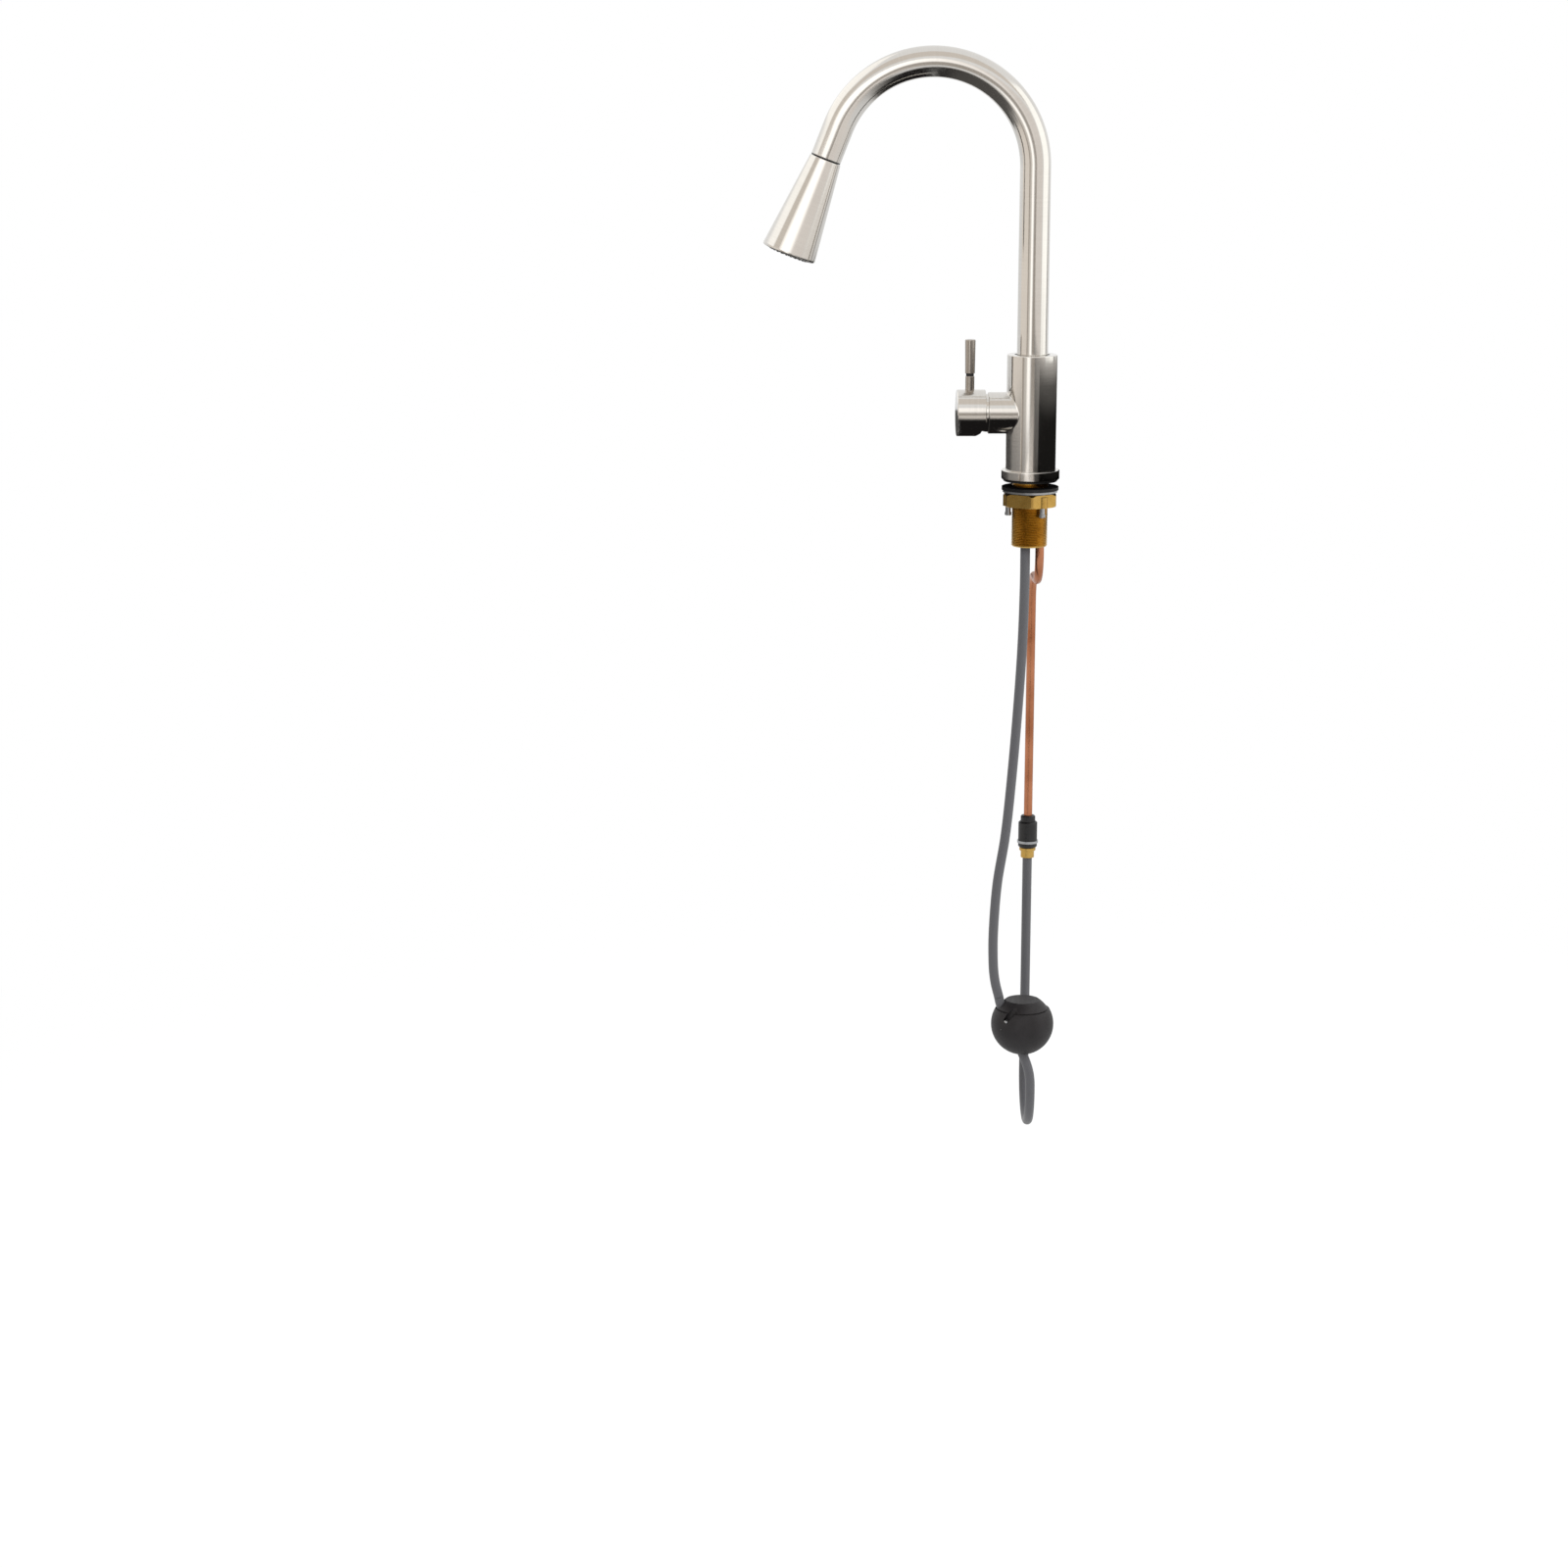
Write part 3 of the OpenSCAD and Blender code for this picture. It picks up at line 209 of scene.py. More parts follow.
def brushed(name, dark, light, rough, lines=(0.65, 0.015, 1.0), source="UV"):
    """Stainless steel, satin brushed round the piece. lines is how many a millimetre holds, on each axis.

    The belt's grit leaves fine lines round it, 0.1 mm apart on the real piece and drawn here about 1.5 mm apart
    so that they show. They blur what it mirrors along the piece and keep it sharp across, as bands.
    """
    material, tree, bsdf = new_material(name, Metallic=1.0, Anisotropic=0.63)
    fine = place_mm(tree, source, lines)
    broad = place_mm(tree, source, (0.06,) * 3)
    broadest = place_mm(tree, source, (0.02,) * 3)
    link(tree, bsdf, {
        "Base Color": mix_colour(
            tree, vary(tree, broad, 0.25, 0.6), vary(tree, fine, dark, light), vary(tree, broadest, dark, light),
        ),
        "Roughness": vary(tree, fine, rough - 0.012, rough + 0.016, 3),
        "Normal": relief(tree, fine, 0.0005, 3),
    })
    if source == "UV":
        tangent = node(tree, "ShaderNodeTangent", direction_type="UV_MAP", uv_map="mm")
    else:
        tangent = node(tree, "ShaderNodeTangent", direction_type="RADIAL", axis="Y")
        bsdf.inputs["Anisotropic Rotation"].default_value = 0.25
    link(tree, bsdf, {"Tangent": tangent.outputs[0]})
    return material


def plain(name, dark, light, rough, metallic=0.0, grain=0.6, depth=0.01, spread=0.05, **more):
    """Evenly finished stuff with small changes of tone, gloss and height, grain lumps per millimetre."""
    material, tree, bsdf = new_material(name, Metallic=metallic, IOR=1.5, **more)
    spots = place_mm(tree, "Object", (grain,) * 3)
    patches = place_mm(tree, "Object", (grain / 12,) * 3)
    link(tree, bsdf, {
        "Base Color": vary(tree, patches, dark, light, 4),
        "Roughness": vary(tree, spots, rough - spread, rough + spread, 3),
        "Normal": relief(tree, spots, depth, 3),
    })
    return material


BRUSHED_STAINLESS = brushed("brushed_stainless", "#D2CFCA", "#DAD7D2", 0.14)
# The same steel on CAD pieces, which have no UVs, brushed round the valve's axis
BRUSHED_VALVE = brushed("brushed_stainless_valve", "#D2CFCA", "#DAD7D2", 0.14, (0.015, 0.65, 0.015), "Object")
# Bar stock turned on a lathe and left darker than the tubes
LEVER_STEEL = brushed("turned_lever_steel", "#A29B93", "#AEA79F", 0.2, (3.0, 0.1, 1.0))
# EPDM, moulded: dull black with a faint bloom
BLACK_RUBBER = plain("moulded_black_rubber", "#0B0B0C", "#161617", 0.62, grain=1.5)
# ABS, injection moulded and spark eroded: fine even texture, satin
BLACK_ABS = plain("moulded_black_abs", "#0C0C0D", "#141415", 0.42, grain=2.5, depth=0.006)
# Acetal, moulded: milky white, faintly waxy
WHITE_ACETAL = plain("moulded_white_acetal", "#D8D8D2", "#E4E4DE", 0.38, grain=1.2, depth=0.005)
# Acetal, moulded in blue for the cartridge's inner parts
BLUE_ACETAL = plain("moulded_blue_acetal", "#2C4C86", "#365A99", 0.4, grain=1.2, depth=0.005)
# Low-lead brass, cast and machined: yellow, with tool marks
CAST_BRASS = plain("machined_brass", "#C09A50", "#D3AE62", 0.3, 1.0, grain=0.9, depth=0.008)
# Steel, zinc plated: bluish grey with a soft spangle
ZINC_STEEL = plain("zinc_plated_steel", "#A7AAAD", "#BDBFC0", 0.32, 1.0, grain=0.7, depth=0.006)
# Copper pipe, drawn: pinkish brown with darker tarnish
COPPER = plain("drawn_copper_pipe", "#A5694A", "#C88866", 0.3, 1.0, grain=0.35, depth=0.006)
# Alumina, ground and lapped flat
CERAMIC = plain("lapped_alumina", "#E2E0DA", "#ECEAE4", 0.18, grain=2.0, depth=0.002)
# Cast iron under matt black enamel with an orange-peel skin
BLACK_ENAMEL = plain("black_enamelled_iron", "#191718", "#222021", 0.5, grain=0.8, depth=0.03, spread=0.07,
                     **{"Specular IOR Level": 0.3})
# Black silicone, moulded, a little glossier than the face round it
NOZZLE_SILICONE = plain("moulded_nozzle_silicone", "#1B1B1D", "#27272A", 0.5, grain=2.0)


def braid_material():
    """Nylon braid over rubber: mid grey with a soft sheen. It darkens the lower it lies, partly the rubber between
    the bundles and partly painted shade where they dip.
    """
    material, tree, bsdf = new_material("grey_nylon_braid", **{"Sheen Weight": 0.15, "Sheen Roughness": 0.5})
    height = node(tree, "ShaderNodeAttribute", attribute_name="raised").outputs["Fac"]
    # Painted shade: the colour darkens with the braid's depth at the bundles' edges and crossings, over the darker
    # rubber showing between them.
    bundles = colour_ramp(tree, height, ((0.1, srgb("#303032")), (0.9, srgb("#4B4B4E"))))
    threads = place_mm(tree, "UV", (2.2, 2.2, 1.0))
    link(tree, bsdf, {
        "Base Color": mix_colour(tree, 0.35, bundles, vary(tree, threads, "#3A3A3D", "#525256")),
        "Roughness": vary(tree, threads, 0.5, 0.64),
        "Normal": relief(tree, threads, 0.03),
    })
    return material


GREY_BRAID = braid_material()


# ---------------------------------------------------------------- mesh code

def add_piece(name, mesh, material, body=None, stands_for=(), sharp=38):
    """Object from a finished mesh, smooth but for edges sharper than sharp degrees, on its body, with the CAD parts
    it stands for hidden.
    """
    for polygon in mesh.polygons:
        polygon.use_smooth = True
    mesh.set_sharp_from_angle(angle=math.radians(sharp))
    mesh.materials.append(material)
    piece = bpy.data.objects.new(name, mesh)
    bpy.context.scene.collection.objects.link(piece)
    if body:
        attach(piece, body)
    if stands_for:
        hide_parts(*stands_for)
    return piece


def distances(path):
    """Distance along a path of each of its points."""
    return np.concatenate([[0], np.cumsum(np.linalg.norm(np.diff(path, axis=0), axis=1))])


def circle(sides):
    """Cosines and sines of evenly spaced angles round a circle."""
    angle = np.arange(sides) * 2 * math.pi / sides
    return np.cos(angle), np.sin(angle)


def skin(rings, girth, wrap=False, u=None):
    """Mesh data over rings of points (rows, around, 3) in millimetres, closed round each ring.

    wrap joins the last ring to the first. The UVs are millimetres too: u along, and up to the girth around.
    """
    rings = np.asarray(rings, float)
    rows, around = rings.shape[:2]
    if u is None:
        step = np.linalg.norm(np.diff(rings, axis=0), axis=2).mean(1)
        u = np.concatenate([[0], np.cumsum(step)])
    v = np.linspace(0, girth, around + 1)
    row, col = np.meshgrid(np.arange(rows if wrap else rows - 1), np.arange(around), indexing="ij")
    next_row, next_col = (row + 1) % rows, (col + 1) % around
    faces = np.stack([
        row * around + col, row * around + next_col, next_row * around + next_col, next_row * around + col,
    ], -1).reshape(-1, 4)
    u_next = np.concatenate([u[1:], [u[-1] + (u[1] - u[0])]])
    uv = np.stack([
        np.stack([u[row], v[col]], -1), np.stack([u[row], v[col + 1]], -1),
        np.stack([u_next[row], v[col + 1]], -1), np.stack([u_next[row], v[col]], -1),
    ], 2).reshape(-1, 2)
    return rings.reshape(-1, 3), [list(f) for f in faces], uv


def build(name, parts, weld=True):
    """One mesh from several (points in mm, faces, uv per corner) parts, with outward normals."""
    points, faces, uvs, base = [], [], [], 0
    for verts, polys, uv in parts:
        points.append(np.asarray(verts) * MM)
        faces += [[base + i for i in p] for p in polys]
        uvs.append(uv)
        base += len(verts)
    mesh = bpy.data.meshes.new(name)
    mesh.from_pydata(np.concatenate(points).tolist(), [], faces)
    layer = mesh.uv_layers.new(name="mm")
    layer.data.foreach_set("uv", np.concatenate(uvs).astype(np.float32).ravel())
    work = bmesh.new()
    work.from_mesh(mesh)
    if weld:
        bmesh.ops.remove_doubles(work, verts=work.verts, dist=2e-7)
        bmesh.ops.dissolve_degenerate(work, dist=1e-7, edges=work.edges)
    bmesh.ops.recalc_face_normals(work, faces=work.faces)
    work.to_mesh(mesh)
    work.free()
    return mesh


def soften(outline, closed=True):
    """Outline of (r, z, fillet) points with each corner rounded by its fillet and the walls held flat beside it."""
    steps, lead, least = 4, 0.35, 0.3
    made = []
    count = len(outline)
    for i, (*corner, fillet) in enumerate(outline):
        p = np.array(corner, float)
        if not fillet or (not closed and i in (0, count - 1)):
            made.append(p)
            continue
        before, after = np.array(outline[i - 1][:2], float), np.array(outline[(i + 1) % count][:2], float)
        a, b = before - p, after - p
        la, lb = np.linalg.norm(a), np.linalg.norm(b)
        a, b = a / la, b / lb
        half = math.acos(max(-1, min(1, float(a @ b)))) / 2
        cut = min(fillet / math.tan(half), 0.48 * la, 0.48 * lb)
        r = cut * math.tan(half)
        centre = p + (a + b) / np.linalg.norm(a + b) * r / math.sin(half)
        s, e = p + a * cut - centre, p + b * cut - centre
        hold = lead * max(r, least)
        if la > 2 * (cut + hold):
            made.append(p + a * (cut + hold))
        turn = math.atan2(s[0] * e[1] - s[1] * e[0], float(s @ e))
        for k in range(steps + 1):
            t = turn * k / steps
            made.append(centre + [s[0] * math.cos(t) - s[1] * math.sin(t), s[0] * math.sin(t) + s[1] * math.cos(t)])
        if lb > 2 * (cut + hold):
            made.append(p + b * (cut + hold))
    return np.array(made)


def lathe(outline, place=Matrix.Identity(4), sides=96, closed=True):
    """Part turned about local Z from an outline of (r, z) points in mm, put in place by a matrix in mm."""
    outline, m = np.asarray(outline, float), np.array(place)
    cos, sin = circle(sides)
    r, z = outline[:, :1], outline[:, 1:]
    rings = np.stack([r * cos, r * sin, np.repeat(z, sides, 1)], -1)
    return skin(rings @ m[:3, :3].T + m[:3, 3], 2 * math.pi * outline[:, 0].max(), closed, distances(outline))


def sweep(path, ways, radii, side=(1, 0, 0)):
    """Rings of points round a path, in mm, from its directions and a radius for each point of a ring.

    The path lies in the plane across side.
    """
    side = np.asarray(side, float)
    cos, sin = circle(radii.shape[1])
    spokes = cos[None, :, None] * side + sin[None, :, None] * np.cross(side, ways)[:, None]
    return path[:, None] + radii[..., None] * spokes


# ---------------------------------------------------------------- sizes from the CAD source, mm

VALVE_Z = 62.2
END_TILT = math.radians(21.5)
BEND_R, BEND_Z, BEND_ARC = 92.0, 284.0, math.pi - END_TILT
SPOUT_END = Vector((0, -188.227, 290.736))
HEAD = Matrix.Translation(SPOUT_END) @ Matrix.Rotation(BEND_ARC, 4, "X")
PULL = 350.0


def bend(t):
    """Point of the gooseneck's centreline, t radians round its bend."""
    return 0, -BEND_R + BEND_R * math.cos(t), BEND_Z + BEND_R * math.sin(t)


def spout_end():
    """Middle of the spout's end and the direction it points in."""
    return np.array(SPOUT_END), np.array(HEAD.to_3x3() @ Vector((0, 0, 1)))


# ---------------------------------------------------------------- hoses

DROP_ROUTE = [
    (0, -3.5, -60), (0, -3.5, -100), (0, -4.8, -155), (0, -8, -215), (0, -12.6, -280), (0, -17.6, -334),
    (0, -24.4, -380), (0, -27.3, -424), (0, -27.2, -455), (0, -25.4, -474), (0, -21.4, -490.6),
]
TAIL_ROUTE = [
    (0, -19.2, -499), (0, -12.4, -514.6), (0, -4.4, -532.6), (0, 3.4, -550), (0, 7.6, -562),
    (0, 9.5, -573), (0, 9.8, -585),
]
LOOP_R, LOOP_Y, LOOP_Z, RETURN_TOP_Z = 38.0, 9.8, -585.0, -373.0
HOSE_R = 4.5
BUNDLES = 12
BUNDLE_LAY = 34.0
BRAID_DEPTH = 0.13
BRAID_SIDES = 6 * BUNDLES
X_AXIS, Y_AXIS = (1, 0, 0), (0, 1, 0)


def smooth_route(route, n):
    """Catmull-Rom curve through the route's points, n steps between neighbours."""
    p = np.array(route, float)
    out = []
    for i in range(len(p) - 1):
        a, b, c, d = p[max(i - 1, 0)], p[i], p[i + 1], p[min(i + 2, len(p) - 1)]
        for k in range(n):
            t = k / n
            out.append(0.5 * (2 * b + (c - a) * t + (2 * a - 5 * b + 4 * c - d) * t * t
                              + (3 * b - a - 3 * c + d) * t ** 3))
    out.append(p[-1])
    return np.array(out)


def resample(path, pitch):
    """The same path with points a pitch apart."""
    far = distances(path)
    at = np.linspace(0, far[-1], max(2, int(round(far[-1] / pitch)) + 1))
    return np.stack([np.interp(at, far, path[:, i]) for i in range(3)], 1)


def braid_mesh(name, path, side, along, bulge):
    """Hose covered with a two-over-two braid of flat bundles, and closed at both ends.

    along is each path point's distance along the hose, in mm. bulge is how much a bundle rises between crossings.
    """
    turn, pitch = np.arange(BRAID_SIDES) / BRAID_SIDES * BUNDLES, along / BUNDLE_LAY * BUNDLES
    a, b = turn[None, :] + pitch[:, None], turn[None, :] - pitch[:, None]
    over = ((np.floor(a) + np.floor(b)) % 4) < 2
    across, length = np.where(over, a % 1, b % 1), np.where(over, b % 1, a % 1)
    crown = np.clip(1 - (2 * across - 1) ** 4, 0, 1) * (1 - bulge + bulge * np.sin(math.pi * length))
    ways = np.gradient(path, axis=0)
    ways /= np.linalg.norm(ways, axis=1)[:, None]
    rings = sweep(path, ways, HOSE_R - BRAID_DEPTH * (1 - crown), side)
    verts, faces, uv = skin(rings, 2 * math.pi * HOSE_R, u=along)
    last = (len(path) - 1) * BRAID_SIDES
    faces += [list(range(BRAID_SIDES)), [last + k for k in range(BRAID_SIDES - 1, -1, -1)]]
    mesh = build(name, [(verts, faces, np.concatenate([uv, np.zeros((2 * BRAID_SIDES, 2))]))], weld=False)
    raised = mesh.attributes.new("raised", "FLOAT", "POINT")
    raised.data.foreach_set("value", crown.astype(np.float32).ravel())
    return mesh


def braided(name, path, side=X_AXIS):
    """Braided hose along a path, and the path with a point at each of its rings."""
    path = resample(np.asarray(path, float), 0.6)
    return braid_mesh(name, path, side, distances(path), 0.28), path


def body_route():
    """Hose inside the body, in the middle under the spout and then 3.5 mm forward, clear of the shank's ports."""
    route = [(0, 0, 74.5)]
    for z in np.arange(66.5, -60.1, -1.5):
        t = max(0, min(1, (70.8 - z) / 40.8))
        route.append((0, -3.5 * t * t * (3 - 2 * t), z))
    return np.array(route)


def make_hoses():
    """The pull-out hose below the deck and its run up the body, each stretch its own piece: the loop on its own body,
    the tail on none and the rest on the base.
    """
    steps, clear = 12, 0.42
    whole = smooth_route(DROP_ROUTE + TAIL_ROUTE, steps)
    split = steps * (len(DROP_ROUTE) - 1)
    drop_path, tail_path = whole[:split + 1], whole[split:]
    gap = (tail_path[1] - tail_path[0]) / np.linalg.norm(tail_path[1] - tail_path[0]) * clear
    tail_path = np.concatenate([[tail_path[0] + gap], tail_path[1:]])
    angle = np.linspace(0, math.pi, 61)
    loop_path = np.stack([
        -LOOP_R + LOOP_R * np.cos(angle), np.full(len(angle), LOOP_Y), LOOP_Z - LOOP_R * np.sin(angle),
    ], 1)
    return_path = np.array([(-2 * LOOP_R, LOOP_Y, LOOP_Z), (-2 * LOOP_R, LOOP_Y, RETURN_TOP_Z)])
    made = {}
    for name, path, side, body in (
        ("hose_drop", drop_path, X_AXIS, "base"), ("hose_tail", tail_path, X_AXIS, None),
        ("hose_loop", loop_path, Y_AXIS, "loop"), ("hose_return", return_path, Y_AXIS, "base"),
        ("hose_body_run", body_route(), X_AXIS, "base"),
    ):
        mesh, line = braided(name + "_braid", path, side)
        piece = add_piece(name + "_braid", mesh, GREY_BRAID, body, (name,), sharp=80)
        made[name] = (piece, line)
    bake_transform(made["hose_tail"][0])
    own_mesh(made["hose_return"][0])
    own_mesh(made["hose_drop"][0])
    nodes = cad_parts
    for name, pieces in (
        ("hose_drop", [nodes["weight_body"], nodes["weight_cap"], nodes["weight_screws"]]),
        ("hose_tail", []), ("hose_loop", []), ("hose_return", []),
    ):
        piece, line = made[name]


make_hoses()


def make_spout_hose():
    """Hose inside the gooseneck, and a short stretch at its end whose braid is laid for the length that pulls out
    with the spray head.
    """
    end, out = spout_end()
    reach, rings = 42, 400
    path = [(0, 0, z) for z in np.arange(76, BEND_Z, 2.0)] + [bend(t) for t in np.linspace(0, BEND_ARC, 90)]
    path = [p for p in path if np.linalg.norm(np.array(p) - end) > reach] + [tuple(end - out * reach)]
    mesh, _ = braided("hose_spout_run_braid", path)
    add_piece("hose_spout_run_braid", mesh, GREY_BRAID, "spout", ("hose_spout_run",), sharp=80)
    pulled = np.linspace(41.6, 28.3, rings)
    along = np.linspace(0, PULL + pulled[0] - pulled[-1], rings)
    mesh = braid_mesh("hose_pulled_braid", pulled[:, None] * -out + end, X_AXIS, along, 0)
    piece = add_piece("hose_pulled_braid", mesh, GREY_BRAID, None, (), sharp=80)
    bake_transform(piece)


make_spout_hose()


# ---------------------------------------------------------------- brushed steel pieces

def make_spout_tube():
    """Gooseneck tube: bent once, with a rounded lip at its end."""
    outer, inner, lip, bevel, sides = 14.0, 12.5, 0.45, 0.2, 96
    end, out = spout_end()
    line = [((0, 0, z), (0, 0, 1)) for z in np.linspace(104, BEND_Z, 46)]
    line += [(bend(t), (0, -math.sin(t), math.cos(t))) for t in np.linspace(0, BEND_ARC, 106)[1:]]
    line += [(end - out * d, out) for d in (25, 18, 11, 5, 2, 0.9)]
    rows = [(p, way, outer) for p, way in line]
    for t in np.linspace(0, math.pi / 2, 5):
        rows.append((end - out * lip * (1 - math.sin(t)), out, outer - lip * (1 - math.cos(t))))
    rows += [(end, out, inner + bevel), (end - out * bevel, out, inner)]
    rows += [(p, way, inner) for p, way in line[::-3]]
    path, ways, radii = (np.array(column, float) for column in zip(*rows))
    rings = sweep(path, ways, np.repeat(radii[:, None], sides, 1))
    mesh = build("gooseneck_tube", [skin(rings, 2 * math.pi * outer, True, distances(path))])
    add_piece("gooseneck_tube", mesh, BRUSHED_STAINLESS, "spout", ("spout_tube",))


make_spout_tube()


def make_body():
    """Body tube, the valve barrel coped and welded to it, and the dressed weld between them."""
    outer, cavity, socket, top, seat_top, seat = 22.8, 19.8, 16.05, 115.4, 86.1, 82.1
    tube = soften([
        (outer, 5, 0), (outer, top, 0.75), (socket, top, 0.3), (socket, seat_top, 0.2), (12.2, seat_top, 0.2),
        (12.2, seat, 0.2), (cavity, seat, 0.6), (cavity, 5, 0),
    ])
    barrel_r, reach, bore, edge, weld = 18.9, 39.7, 15.5, 0.7, 0.9
    girth = 2 * math.pi * barrel_r
    cos, sin = circle(128)

    def ring(r, y):
        """Ring about the valve's axis at each point's own distance y forward."""
        return np.stack([r * cos, -np.broadcast_to(y, cos.shape), VALVE_Z + r * sin], -1)

    def surface(r):
        """Distance forward to the body tube's skin at radius r from the valve's axis."""
        return np.sqrt(np.maximum(outer ** 2 - (r * cos) ** 2, 0))

    meet = surface(barrel_r)
    rows = [ring(bore, surface(bore) - 1.2), ring(barrel_r - 0.3, meet - 1.2), ring(barrel_r, meet - 0.5)]
    rows += [ring(barrel_r, meet + (reach - 1.2 - meet) * t) for t in np.linspace(0.0, 1, 14)]
    for t in np.linspace(0, math.pi / 2, 6):
        rows.append(ring(barrel_r - edge * (1 - math.cos(t)), reach - edge * (1 - math.sin(t))))
    rows += [ring(barrel_r - 1.2, reach), ring(bore + 0.5, reach), ring(bore, reach - 0.4)]

    corner, on_barrel = ring(barrel_r, meet), ring(barrel_r, meet + weld)
    normal = np.stack([corner[:, 0] / outer, corner[:, 1] / outer, 0 * cos], -1)
    outward = np.stack([cos, 0 * cos, sin], -1)
    slide = outward - (outward * normal).sum(1)[:, None] * normal
    slide /= np.linalg.norm(slide, axis=1)[:, None]
    on_tube = corner + slide * weld
    on_tube[:, :2] *= outer / np.hypot(on_tube[:, 0], on_tube[:, 1])[:, None]
    hollow = corner * 0.86 + (on_barrel + on_tube) * 0.07
    fillet = [(1 - t) ** 2 * on_barrel + 2 * t * (1 - t) * hollow + t * t * on_tube for t in np.linspace(0, 1, 7)]
    fillet.append(corner - normal * 0.4 - outward * 0.4)
    mesh = build("body_and_barrel", [lathe(tube, sides=128), skin(rows, girth, True), skin(fillet, girth, True)])
    add_piece("body_and_barrel", mesh, BRUSHED_STAINLESS, "base", ("faucet_body",))


make_body()


# ---------------------------------------------------------------- turned and moulded pieces

DECK = Matrix.Identity(4)
LEVER = Matrix.Translation((0, -56.5, 0))


def turned(name, outline, place, material, body, stands_for, sides=96, closed=True):
    """One turned or moulded ring-shaped piece from its outline of (r, z, fillet) points."""
    mesh = build(name, [lathe(soften(outline, closed), place, sides, closed)])
    add_piece(name, mesh, material, body, stands_for)


def make_shank():
    """Hollow brass shank with a real M33 x 1.5 thread on the length that the nut can reach."""
    pitch, depth, crest, bore, sides, steps = 1.5, 0.92, 16.5, 14.0, 72, 6
    foot, top, head = -60.0, -1.0, 15.0
    turns = int((top - foot) / pitch) + 2
    turn, along = np.arange(turns * sides + 1) / sides, np.arange(steps + 1) / steps
    flat = foot - pitch + pitch * (turn[:, None] + along[None, :])
    z = np.clip(flat, foot, top)
    fade = np.clip(np.minimum(z - foot, top - z) / pitch, 0, 1)
    notch = depth * (1 - abs(2 * along - 1)) * fade
    r = crest - np.maximum(notch, np.clip(1.0 - (z - foot), 0, 1))
    angle = 2 * math.pi * (turn % 1)[:, None]
    points = np.stack([r * np.cos(angle), r * np.sin(angle), z], -1)
    rows, around = points.shape[:2]
    faces, uv = [], []
    for i in range(rows - 1):
        for k in range(around - 1):
            corners = ((i, k), (i, k + 1), (i + 1, k + 1), (i + 1, k))
            faces.append([a * around + b for a, b in corners])
            uv += [(turn[a] * 2 * math.pi * crest, flat[a, b]) for a, b in corners]
    tube = lathe([
        (crest - 1.0, foot), (bore + 0.5, foot), (bore, foot + 0.5), (bore, head - 0.3), (bore + 0.3, head),
        (crest - 0.5, head), (crest, head - 0.5), (crest, top),
    ], sides=sides, closed=False)
    mesh = build("shank_thread", [(points.reshape(-1, 3), faces, np.array(uv)), tube])
    add_piece("shank_thread", mesh, CAST_BRASS, "base", ("threaded_shank",), sharp=30)


turned("base_flange", [
    (22.85, 5, 0.1), (22.85, 10.4, 0.25), (26.5, 10.4, 0.7), (26.5, 2.6, 0.5), (25.3, 1.4, 0.4),
    (24.6, 1.4, 0.1), (24.6, 2.6, 0.1), (16.8, 2.6, 0.1), (16.8, 5, 0.1),
], DECK, BRUSHED_STAINLESS, "base", ("base_ring",), 128)
make_shank()
turned("foot_gasket", [
    (24.5, 0, 0.5), (24.5, 2.55, 0.2), (17.5, 2.55, 0.2), (17.5, 0, 0.3),
], DECK, BLACK_RUBBER, "base", ("base_gasket",), 128)
turned("lever_lower_pin", [
    (0, 82.2, 0), (4.1, 82.2, 0), (4.1, 95.8, 0.45), (2.4, 95.8, 0.05), (2.4, 104.6, 0.2), (0, 104.6, 0),
], LEVER, LEVER_STEEL, "handle", ("lever_pin",), 64, False)
turned("lever_grip_bar", [
    (2.45, 98.2, 0.05), (4.4, 98.2, 0.35), (4.8, 128.8, 0.75), (0, 128.8, 0),
], LEVER, LEVER_STEEL, "handle", ("lever_grip",), 64, False)
turned("lever_groove_ring", [
    (3.6, 95.85, 0.3), (3.6, 98.15, 0.3), (2.45, 98.15, 0.05), (2.45, 95.85, 0.05),
], LEVER, BLACK_RUBBER, "handle", ("lever_ring",), 48)
turned("head_shell", [
    (10.85, 1.3, 0.1), (14.5, 1.3, 0.5), (25.3, 91.3, 2.7), (20.8, 91.3, 0.5), (20.8, 86.5, 0.1),
    (23.2, 86.5, 0.1), (12.9, 2.9, 0.2), (10.85, 2.9, 0.1),
], HEAD, BRUSHED_STAINLESS, "spray_head", ("spray_shell",), 128)
turned("head_dock_collar", [
    (12.45, -24, 0.3), (12.45, 0, 0.05), (13.8, 0, 0.1), (13.8, 1, 0.3), (10.8, 1, 0.3), (10.8, -24, 0.3),
], HEAD, BLACK_ABS, "spout", ("docking_collar",))


# ---------------------------------------------------------------- CAD pieces with their materials

